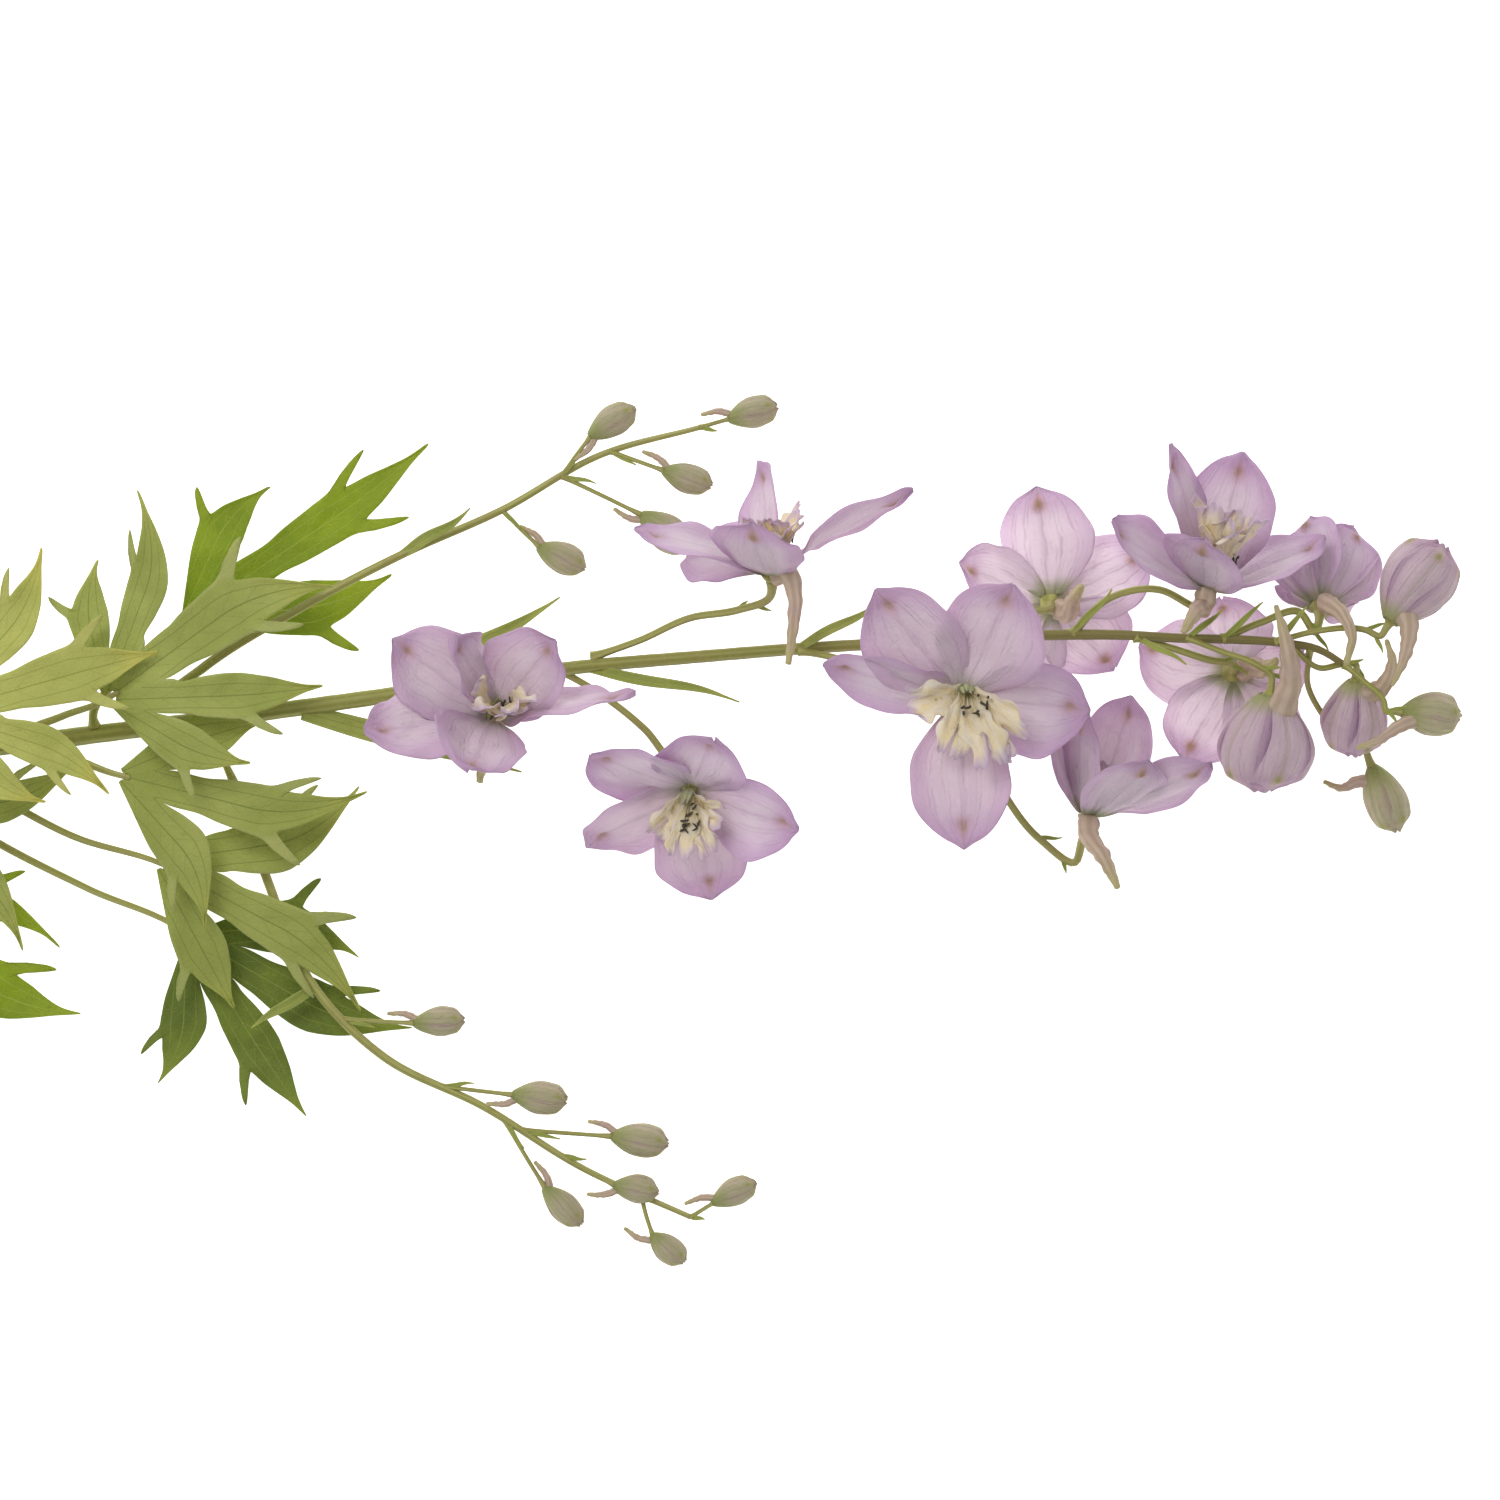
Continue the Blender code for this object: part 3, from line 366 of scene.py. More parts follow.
def petalFinish(name, look):
    # darker edge and tip, blush, fine veins, keel, a green rib and root on the back, a brown spot in a halo
    finish, tree, along, across, seed, side = newFinish(name)
    off = times(maths("ABSOLUTE", maths("SUBTRACT", across, 0.5)), 2.0)
    lines, mottle = addNode(tree, "ShaderNodeGroup", along, across, seed, look["veins"], node_tree=veins).outputs
    edge = maths("MAXIMUM", between(off, look["edgeFrom"], 1.0), between(along, 0.72, 1.0))
    rib = times(times(rest(between(off, 0.05, 0.6)), side), timesPlus(lines, 0.4, 0.6))
    root = rest(between(along, look["rootFrom"], look["rootTo"]))
    far, wide = times(maths("SUBTRACT", along, look["spotAt"]), 11.0), times(off, 4.0)
    away = maths("SQRT", maths("ADD", times(far, far), times(wide, wide)))
    shown, crinkle = timesPlus(side, 0.45, 0.5), speckled(tree, 1100.0, 0.3, 0.7)
    colour = layers(blend(edge, look["middle"], look["edge"]), look,
                    (mottle, look["blushShare"], "blush"), (between(seed, 0.0, 1.0, "LINEAR"), 0.3, "warm"),
                    (lines, look["lineShare"], "line"),
                    (between(along, look["tipFrom"], 1.0), look["tipShare"], "tip"),
                    (rest(between(off, 0.0, 0.09)), look["keelShare"], "keel"), (rib, look["ribShare"], "rib"),
                    (root, timesPlus(side, 0.75, 0.25), "root"), (rest(between(away, 0.15, 1.35)), shown, "halo"),
                    (rest(between(away, 0.0, 0.7)), shown, "spot"), (crinkle, 0.12, "warm"))
    height = timesPlus(crinkle, 0.7, timesPlus(mottle, 1.2, lines))
    thinShader(colour, bump(height, look["relief"], 0.0002), look)
    return finish


sepalLook = {
    "middle": (0.83, 0.74, 0.81), "edge": (0.74, 0.55, 0.75), "edgeFrom": 0.38, "blush": (0.77, 0.59, 0.76),
    "blushShare": 0.35, "warm": (0.84, 0.70, 0.74), "line": (0.62, 0.47, 0.62), "lineShare": 0.22,
    "keel": (0.60, 0.44, 0.57), "keelShare": 0.22, "veins": 120.0, "rib": (0.68, 0.61, 0.67), "ribShare": 0.35,
    "root": (0.44, 0.46, 0.26), "rootFrom": 0.04, "rootTo": 0.2, "tip": (0.60, 0.38, 0.60), "tipShare": 0.5,
    "tipFrom": 0.62, "halo": (0.60, 0.38, 0.38), "spot": (0.44, 0.32, 0.16), "spotAt": 0.87, "relief": 0.6,
    "rough": 0.6, "gloss": 0.25, "through": 0.4,
}
budLook = dict(
    sepalLook, middle=(0.70, 0.53, 0.61), edge=(0.33, 0.15, 0.33), edgeFrom=0.5, blush=(0.55, 0.36, 0.51),
    warm=(0.70, 0.55, 0.54), line=(0.36, 0.26, 0.34), lineShare=0.42, keel=(0.42, 0.36, 0.26), keelShare=0.55,
    veins=90.0, rib=(0.66, 0.56, 0.55), root=(0.42, 0.44, 0.18), rootFrom=0.02, rootTo=0.24,
    tip=(0.48, 0.30, 0.40), halo=(0.56, 0.42, 0.34), spot=(0.34, 0.33, 0.10), spotAt=0.82, through=0.2,
)
greenBudLook = dict(
    budLook, middle=(0.56, 0.49, 0.34), edge=(0.44, 0.28, 0.30), blush=(0.48, 0.44, 0.26),
    warm=(0.62, 0.55, 0.34), rib=(0.48, 0.47, 0.24), ribShare=0.6, root=(0.36, 0.40, 0.13), rootTo=0.5,
    line=(0.34, 0.32, 0.18), halo=(0.46, 0.43, 0.18), spot=(0.38, 0.41, 0.09), tip=(0.46, 0.42, 0.2),
)
eyeLook = dict(
    sepalLook, middle=(0.96, 0.89, 0.72), edge=(0.97, 0.92, 0.84), blush=(0.96, 0.80, 0.38),
    warm=(0.97, 0.90, 0.74), line=(0.90, 0.82, 0.66), lineShare=0.15, keel=(0.94, 0.80, 0.50),
    rib=(0.96, 0.90, 0.82), ribShare=0.3, root=(0.74, 0.78, 0.46), rootTo=0.1, tip=(0.66, 0.50, 0.72),
    blushShare=0.6, tipShare=0.8, tipFrom=0.8, halo=(0.92, 0.84, 0.78), spot=(0.76, 0.62, 0.76), spotAt=0.94,
    veins=30.0, relief=0.6, through=0.35,
)
# a paler copy of the sepal look for flowers that face down onto the floor: its lighter colours are painted
# backlight, standing in for floor light shining through their sepals
paintedBacklightLook = dict(
    sepalLook, middle=(0.93, 0.85, 0.90), edge=(0.83, 0.69, 0.82), blush=(0.85, 0.73, 0.83),
    warm=(0.93, 0.84, 0.87), line=(0.66, 0.48, 0.60), lineShare=0.4, rib=(0.70, 0.62, 0.66), through=0.45,
)
sepalFinish, paintedBacklightFinish, budFinish, greenBudFinish, eyeFinish = (
    petalFinish(name, look) for name, look in (
        ("lilac sepal", sepalLook), ("lilac sepal with painted backlight", paintedBacklightLook), ("lilac bud", budLook),
        ("green bud", greenBudLook), ("cream inner petal", eyeLook)))


def stalkFinish(name, look):
    # ribbed stalk: two greens in stripes along it, with browner patches and flecks
    finish, tree, along, across, seed, side = newFinish(name)
    stripe = between(maths("SINE", times(across, 2 * pi * look["ribs"])), -0.9, 0.9)
    colour = layers(blend(stripe, look["dark"], look["light"]), look,
                    (speckled(tree, 90.0, 0.42, 0.7), 0.7, "patch"),
                    (speckled(tree, 900.0, 0.5, 0.75), 0.35, "fleck"),
                    (between(along, 0.55, 1.0), look["endShare"], "end"))
    height = timesPlus(speckled(tree, 1400.0, 0.35, 0.7), 0.5, stripe)
    thinShader(colour, bump(height, 0.4, 0.0002), look)
    return finish


stalkLook = {
    "ribs": 7, "dark": (0.24, 0.245, 0.05), "light": (0.33, 0.33, 0.085), "patch": (0.30, 0.27, 0.08),
    "fleck": (0.40, 0.38, 0.16), "end": (0.17, 0.13, 0.05), "endShare": 0.75, "rough": 0.5, "gloss": 0.35,
    "through": 0.0,
}
twigLook = dict(
    stalkLook, ribs=4, dark=(0.28, 0.28, 0.06), light=(0.40, 0.39, 0.12), end=(0.42, 0.38, 0.16), endShare=0.4,
)
spurLook = dict(
    stalkLook, ribs=6, dark=(0.56, 0.43, 0.32), light=(0.69, 0.56, 0.43), patch=(0.60, 0.44, 0.40),
    fleck=(0.70, 0.58, 0.38), end=(0.60, 0.55, 0.26), endShare=0.8, rough=0.65, gloss=0.2, through=0.25,
)
cutLook = dict(
    stalkLook, ribs=9, dark=(0.50, 0.52, 0.28), light=(0.62, 0.62, 0.40), patch=(0.48, 0.44, 0.26),
)
carpelLook = dict(
    stalkLook, ribs=3, dark=(0.46, 0.52, 0.20), light=(0.62, 0.66, 0.36), patch=(0.66, 0.66, 0.46),
    end=(0.62, 0.50, 0.52), endShare=0.4, through=0.2,
)
antherLook = dict(
    stalkLook, ribs=2, dark=(0.035, 0.03, 0.025), light=(0.07, 0.06, 0.045), patch=(0.05, 0.045, 0.03),
    fleck=(0.25, 0.20, 0.10), end=(0.05, 0.04, 0.03),
)
beardLook = dict(
    stalkLook, ribs=2, dark=(0.80, 0.68, 0.34), light=(0.88, 0.80, 0.54), patch=(0.86, 0.72, 0.30),
    fleck=(0.9, 0.86, 0.7), end=(0.92, 0.88, 0.72), endShare=0.7, through=0.3,
)
stalkGreen, twigGreen, spurSkin, cutPith, carpelGreen, antherDark, beardCream = (
    stalkFinish(name, look) for name, look in (
        ("ribbed green stalk", stalkLook), ("flower stalk green", twigLook), ("crinkled spur", spurLook),
        ("pale cut pith", cutLook), ("pale green carpel", carpelLook), ("dark anther", antherLook),
        ("cream beard", beardLook)))


def leafFinish(name, look):
    # a leaf: thin dark midrib, a long vein to either side of it, fine branches forward, pale hairy skin, marks
    finish, tree, along, off, seed, side = newFinish(name)
    turn = maths("FRACT", timesPlus(seed, 0.7, times(timesPlus(off, -0.16, along), 9.0)))
    near = maths("ABSOLUTE", maths("SUBTRACT", turn, 0.5))
    branch = times(rest(between(near, 0.0, 0.05)), rest(between(off, 0.3, 0.85)))
    second = maths("ABSOLUTE", maths("SUBTRACT", off, timesPlus(along, -0.25, 0.68)))
    second = rest(between(second, 0.0, 0.035))
    lines = maths("MAXIMUM", rest(between(off, 0.0, 0.045)),
                  maths("MAXIMUM", times(branch, 0.35), times(second, 0.75)))
    colour = layers(blend(speckled(tree, 45.0, 0.35, 0.68), look["shade"], look["main"]), look,
                    (between(along, 0.72, 1.0), 0.6, "tip"), (lines, 0.75, "vein"),
                    (speckled(tree, 420.0, 0.66, 0.76), 0.5, "mark"), (between(off, 0.86, 1.0), 0.35, "rim"))
    height = timesPlus(lines, 1.0, speckled(tree, 1500.0, 0.3, 0.7))
    thinShader(colour, bump(height, 0.45, 0.0003), look)
    return finish


leafLooks = {
    "grey": {"main": (0.46, 0.50, 0.13), "shade": (0.36, 0.41, 0.09), "tip": (0.54, 0.55, 0.12),
             "vein": (0.20, 0.25, 0.045), "mark": (0.26, 0.25, 0.06), "rim": (0.56, 0.58, 0.24), "rough": 0.6,
             "gloss": 0.3, "through": 0.18},
    "yellow": {"main": (0.62, 0.63, 0.17), "shade": (0.50, 0.53, 0.13), "tip": (0.80, 0.69, 0.14),
               "vein": (0.32, 0.36, 0.06), "mark": (0.34, 0.30, 0.07), "rim": (0.72, 0.69, 0.24), "rough": 0.55,
               "gloss": 0.3, "through": 0.2},
    "bright": {"main": (0.42, 0.52, 0.03), "shade": (0.29, 0.39, 0.02), "tip": (0.50, 0.57, 0.06),
               "vein": (0.58, 0.64, 0.14), "mark": (0.20, 0.27, 0.02), "rim": (0.48, 0.55, 0.06), "rough": 0.45,
               "gloss": 0.45, "through": 0.45},
    "dark": {"main": (0.25, 0.32, 0.03), "shade": (0.15, 0.21, 0.02), "tip": (0.38, 0.46, 0.05),
             "vein": (0.40, 0.46, 0.09), "mark": (0.10, 0.14, 0.02), "rim": (0.30, 0.37, 0.06), "rough": 0.45,
             "gloss": 0.45, "through": 0.25},
}
leafFinishes = {key: leafFinish(key + " leaf", look) for key, look in leafLooks.items()}
print("finishes ready")

# at: base, face: the way it looks, back: the side of the spur. sepals: turn, length, half width, first and last
# angle of the middle line to the face, roll about it. stalk and spur: layout points. eye: size and spread of the
# inner petals, which eyeFace, eyeShift and eyeTurn set apart. crumple: how strongly the sepals are creased.
# spurFrom: how many of the hidden spur knots are used.
blooms = [
    dict(at=(494, 714, 33), face=(0, 0.2, 0.98), back=(0, -1, 0.2), spur=[(486, 750, 27), (479, 782, 22)],
         stalk=[(400, 693, 18.5), (440, 694, 21), (474, 712, 23)], eye=(1.25, 0.85), crumple=1.0,
         eyeFace=(0.08, 0.3, 0.95), eyeShift=(0.9, 1.2, 0.2),
         sepals=[(16, 22, 10.5, 40, 45, 0), (78, 28, 9, 65, 76, -30), (124, 26, 10, 54, 84, 0),
                 (152, 22, 7.5, 30, 44, -56), (-132, 24, 10, 38, 54, 0), (-94, 31, 8, 50, 92, 55)]),
    dict(at=(772, 573, 34), face=(0, 0.86, 0.51), back=(0.6, -0.41, 0.69),
         spur=[(787, 574, 37), (794, 592, 38.6), (793, 630, 38.4), (788, 664, 36.5)],
         stalk=[(592, 657, 23.2), (640, 640, 25), (690, 618, 27.5), (738, 610, 29)], eye=(1.45, 0.55),
         crumple=0.35, spurFrom=1,
         sepals=[(131, 29.5, 8.5, 57, 87, -15), (54, 24, 10.5, 50, 24, -9), (172, 25, 9.5, 85, 118, 15),
                 (-149, 26, 8, 51, 62, 58), (-73, 34, 8.5, 55, 76, 41)]),
    dict(at=(960, 698, 42), face=(0, -0.25, 0.97), back=(0, -1, 0), spur=[(966, 740, 31), (985, 772, 25)],
         stalk=[(800, 650, 27), (850, 662, 31), (905, 684, 35), (938, 688, 36)], eye=(1.45, 1.15),
         crumple=0.15, eyeShift=(1.2, 2.0, 0.4), eyeTurn=5,
         sepals=[(-158, 28.5, 12, 64, 84, 0), (144, 30.5, 11, 68, 88, 0), (-1, 31, 11.2, 62, 80, 0),
                 (-86, 26, 11, 74, 96, -12), (105, 29, 9, 76, 98, 30)]),
    dict(at=(1053, 602, 11), face=(0.1, 0.3, -0.95), back=(0.8, -0.3, 0), spur=[(1076, 596, 20), (1082, 586, 25)],
         stalk=[(948, 640, 28), (985, 628, 27), (1022, 610, 23)], eye=(0.85, 1.0), crumple=0.2,
         sepals=[(42, 24, 10, 51, 66, 22), (-32, 22, 10.5, 60, 72, -5), (119, 24, 10.5, 59, 76, -3),
                 (-175, 22, 10, 59, 70, 13), (-101, 26, 10.5, 66, 79, -7)]),
    dict(at=(1208, 586, 32), face=(0.15, 0.85, 0.5), back=(-0.2, -0.5, 0.85),
         spur=[(1194, 612, 39), (1181, 633, 40)],
         stalk=[(1072, 634, 28.7), (1110, 598, 29), (1160, 590, 29.5), (1192, 606, 29.5)], eye=(1.65, 0.62),
         crumple=0.25, eyeShift=(0.8, 1.0, 1.0),
         sepals=[(120, 31, 8, 26, 34, -22), (-178, 29, 10.5, 42, 22, 0), (66, 28, 9, 66, 52, 6),
                 (-120, 26, 8.5, 72, 62, -6), (12, 19, 10.5, 48, 18, 0)]),
    dict(at=(1235, 672, 12), face=(-0.1, -0.3, -0.95), back=(1, 0.1, 0), spur=[(1268, 668, 21), (1278, 660, 24)],
         stalk=[(1135, 637, 29), (1172, 648, 27), (1212, 660, 23)], eye=(0.85, 1.0), crumple=0.2,
         sepals=[(20, 20, 9.5, 56, 68, 10), (-52, 21, 9.5, 62, 76, 0), (-124, 20, 9.5, 64, 80, -12),
                 (150, 21, 9.5, 60, 72, 0), (86, 22, 10, 54, 66, 8)]),
    dict(at=(1322, 605, 22), face=(0.1, 0.75, -0.65), back=(0.52, 0.52, 0.68),
         spur=[(1342, 616, 31.5), (1350, 638, 34.8), (1344, 664, 35.5)],
         stalk=[(1222, 639, 29), (1262, 622, 28), (1300, 612, 26.5)], eye=None, crumple=0.2,
         sepals=[(140, 21, 9.5, 60, 5, 0), (60, 21, 9.5, 58, -5, 0), (-12, 20, 9.5, 58, 0, 0),
                 (-84, 21, 9.5, 62, 10, 0), (-158, 20, 9.5, 60, 0, 0)]),
    dict(at=(690, 790, 20), face=(-0.2, -0.6, 0.75), back=(0.2, -1, 0), spur=[(704, 800, 8), (716, 812, 5.5)],
         stalk=[(558, 669, 22.5), (600, 694, 19), (645, 730, 14), (676, 764, 13)], eye=(1.1, 1.1), crumple=0.3,
         sepals=[(8, 24, 10.5, 66, 84, 4), (80, 25, 10, 66, 84, 16), (152, 26, 10.5, 56, 72, 0),
                 (-140, 24, 10.5, 58, 76, -14), (-66, 25, 10, 64, 82, 0)]),
    dict(at=(1090, 815, 20), face=(0.2, 0.93, 0.2), back=(0.1, -0.2, 1), spur=[(1104, 858, 27), (1118, 888, 27)],
         stalk=[(930, 641, 28), (962, 700, 23), (1000, 785, 17), (1042, 840, 15), (1078, 862, 16.5)],
         eye=(0.95, 1.0), crumple=0.2,
         sepals=[(54, 24.5, 8.5, 26, 10, 0), (122, 29, 9.5, 42, 10, 0), (-64, 29, 8.5, 50, 54, 32),
                 (-142, 27, 10.5, 24, 8, 0), (-28, 22.5, 9.5, 49, 38, 0)]),
]
sepalForm = {"rows": 52, "columns": 31, "cup": 26.0, "tilt": 0.17, "wave": 0.5, "root": 1.5, "keel": 0.34,
             "hood": 1.1, "dent": 0.6, "dentAt": 0.86, "point": 0.9, "thinnest": 0.35}


def petalLine(u, length, first, last, curve=0.8):
    # middle line of a petal: its angle to the face runs from first to last as u^curve, out and rise are its sums
    s = np.linspace(0, 1, 121)
    angle = radians(first + (last - first) * s**curve)
    return [np.interp(u, s, row) for row in (angle, summed(sin(angle), length), summed(cos(angle), length))]


def petalNet(turn, root, angle, out, rise, side, lift, push=0.0):
    # out and rise of the middle line, moved sideways, lifted square to the line and pushed on along it
    turn = radians(turn)
    outward = root + out - lift * cos(angle) + push * sin(angle)
    upward = rise + lift * sin(angle) + push * cos(angle)
    return np.stack([outward * sin(turn) + side * cos(turn), outward * cos(turn) - side * sin(turn), upward],
                    axis=-1)


def sepalNet(turn, length, half, first, last, roll, seed, crumple):
    # width = half (0.14 (1-u)^2 + |sin(pi u^1.2)|^p), lopsided; section an arc of radius cup, tilted over its
    # neighbour and rolled about the middle line; with a waved edge, soft folds, a keel, a hooded tip and dents
    form = sepalForm
    u, v = netGrid(form["rows"], form["columns"])
    u = u**0.96 * 0.995 + 0.005
    off, belly = np.abs(v), sin(pi * u)
    angle, out, rise = petalLine(u, length, first, last)
    width = half * (0.14 * (1 - u) ** 2 + np.abs(sin(pi * u**1.2)) ** (0.52 + 0.06 * sin(seed * 3.1)))
    width *= (0.8 + 0.2 * np.minimum(1, u / 0.35)) * (1 + 0.08 * sin(seed * 2.3) * v * belly)
    width *= 1 + 0.022 * (1 + crumple) * sin(16 * u + 2 * v + seed) * step(u, 0.3, 0.6)
    side = np.maximum(width, form["thinnest"]) * v
    bend = side / form["cup"]
    lift = form["cup"] * (1 - cos(bend)) + form["tilt"] * side * np.minimum(1.0, 0.3 + u)
    lift += form["wave"] * sin(3.1 * side / half + 5.0 * u + seed) * u * off
    lift += (0.35 + 0.8 * crumple) * sin(14 * u + 2.4 * v + seed * 2) * u * v**4
    lift += (0.16 + 0.5 * crumple) * sin(5.2 * v + seed * 4) * belly * (0.3 + 0.7 * off)
    lift += 0.8 * sin(seed * 1.9) * off**6 * belly
    lift -= form["keel"] * exp(-(v / 0.07) ** 2) * step(u, 0.05, 0.25) * (1 - u)
    lift += 0.2 * sin(13 * v + 3 * u + seed) * sin(pi * np.minimum(1, 0.15 + u)) * off**0.5
    lift += form["hood"] * step(u, 0.86, 1.0) * (0.4 + 0.6 * cos(v * 1.5))
    lift -= form["dent"] * exp(-((u - form["dentAt"]) / 0.05) ** 2 - (side / 1.4) ** 2)
    lift += (0.15 + 0.22 * crumple) * ripple(side * 0.5, u * length * 0.28, int(seed * 100)) * step(u, 0.05, 0.3)
    lift += 0.7 * crumple * ripple(side * 0.2, u * length * 0.11, int(seed * 100) + 1) * step(u, 0.2, 0.6)
    twist, flat = radians(roll) * np.minimum(1, u / 0.3), form["cup"] * sin(bend)
    return petalNet(turn, form["root"], angle, out, rise, flat * cos(twist) - lift * sin(twist),
                    flat * sin(twist) + lift * cos(twist), form["point"] * exp(-side**2) * step(u, 0.9, 1.0)), u, v


def addSpur(batch, knots, radii, slot, seed, count=64, sides=24):
    # crinkled spur: r (1 + folds along it + fine dents), a little flattened
    path = smooth([(*p, r) for p, r in zip(knots, radii)], count)
    s, a = np.linspace(0, 1, count)[:, None], circle(sides)
    swell = 1 + 0.1 * sin(5 * a + 6 * s + seed) * step(s, 0.1, 0.35) + 0.06 * sin(34 * s + 2 * sin(a + seed))
    swell += 0.07 * sin(2 * a + 41 * s + seed * 3) * step(s, 0.25, 0.7)
    swell += 0.04 * sin(9 * a - 15 * s + seed * 2) * step(s, 0.15, 0.4)
    path[:, 2:3] += 0.25 * sin(s * 19 + seed) * step(s, 0.4, 1.0)
    addTube(batch, path[:, :3], path[:, 3:] * swell, sides, slot, value=(seed * 0.37) % 1, flat=0.86)


# the green base that sepals and spur grow from, and the knots that start the spur inside it
flowerBase = {"heights": (-2.5, -2.2, -1.7, -1.1, -0.6, -0.3, -0.15), "sides": 30,
              "widths": (0.95, 1.1, 1.6, 2.2, 2.4, 2.1, 1.4),
              "spurKnots": ((0, 1.0, -0.8), (0, 2.3, -1.3), (0, 3.9, -2.8)), "spurRadii": (1.9, 2.5, 2.3)}


def makeSepals(number, bloom):
    start, axes = place(*bloom["at"]), flowerAxes(bloom["face"], bloom["back"])
    batch, base = newBatch(), flowerBase
    for k, sepal in enumerate(bloom["sepals"]):
        seed = 1.7 * k + number
        net, u, v = sepalNet(*sepal, seed, bloom["crumple"])
        addSheet(batch, [raised(start + net @ axes, sizes["lowPetal"])], sizes["sepal"], 0,
                 [netMark(u, (v + 1) / 2, (seed * 0.618) % 1)])
    addTube(batch, start + axes[2] * column(base["heights"]),
            column(base["widths"]) * (1 + 0.05 * cos(5 * circle(base["sides"]))), base["sides"], 2, value=0.3)
    inside = bloom.get("spurFrom", 3)
    knots = [start + np.array(knot) @ axes for knot in base["spurKnots"][:inside]] + places(bloom["spur"])
    shown = np.linspace(1.7 if inside == 3 else 2.5, 0.7, len(bloom["spur"]))
    addSpur(batch, knots, [*base["spurRadii"][:inside], *shown], 1, number)
    # flowers facing down onto the floor get the paler copy, whose extra lightness is painted backlight
    skin = paintedBacklightFinish if bloom["face"][2] < -0.9 else sepalFinish
    return finishPiece(f"bloomSepals{number}", batch, [skin, spurSkin, twigGreen],
                       f"bloom_{number}_sepals")


eyeForm = {
    "upper": {"turns": (16, -26), "length": 12.6, "half": 2.9, "lean": 26, "curl": 48, "notch": 0.3},
    "lower": {"turns": (72, -62), "length": 11.0, "half": 3.1, "lean": 32, "curl": 42, "notch": 0.36},
    "rows": 40, "columns": 29, "beard": 30, "anthers": 11, "thread": 0.16, "antherHalf": 0.95,
    "antherWide": 0.3, "hair": (0.15, 0.14, 0.12, 0.1, 0.06),
    "carpel": ((0.5, 0.6), (0.8, 2.2), (0.6, 4.4), (0.75, 5.6)),  # how far out and how high its knots lie
    "carpelRadii": (0.65, 0.72, 0.34, 0.12),
}


def innerPetal(kind, turn, size, wide, seed):
    # a clawed petal: width = half (0.42 + 0.58 step(u)), ending in two round lobes with a narrow notch between;
    # crinkled edges, lips bent apart, the whole swung to one side
    form = eyeForm[kind]
    u, v = netGrid(eyeForm["rows"], eyeForm["columns"])
    off, split, end = np.abs(v), v - 0.2 * sin(seed * 5), step(u, 0.55, 1.0)
    lobe = np.clip((np.abs(split) - 0.5) / 0.56, -1, 1)
    reach = 1 - 0.2 * (1 - np.sqrt(1 - 0.97 * lobe**2)) * end
    reach -= form["notch"] * exp(-(split / 0.11) ** 2) * step(u, 0.5, 1.0)
    reach += 0.035 * sin(17 * v + 3 * seed) * step(u, 0.6, 1.0)
    angle, out, rise = petalLine(u * reach, form["length"] * size, form["lean"] * wide,
                                 (form["lean"] + form["curl"]) * wide, 1.4)
    width = form["half"] * size * (0.42 + 0.58 * step(u, 0.1, 0.55))
    width *= 1 + 0.19 * sin(14 * u + 1.4 * np.sign(v) + seed) * step(u, 0.25, 0.5) * off
    side = width * v + 0.14 * form["length"] * size * sin(seed * 3.3) * u**2
    lift = 0.34 * np.abs(width * v) ** 1.5 / (form["half"] * size) ** 0.5
    lift += 0.85 * sin(12 * u + 5.0 * v + seed) * u * off**1.2 + 0.35 * ripple(side, u * 7, int(seed * 10))
    lift += (1.3 * sin(seed * 2.7 + 2.2 * v) + 0.5 * np.sign(split) - 0.6 * v**2) * end
    return petalNet(turn, 0.9 + 0.25 * size, angle, out, rise + 0.9, side, lift), u, v


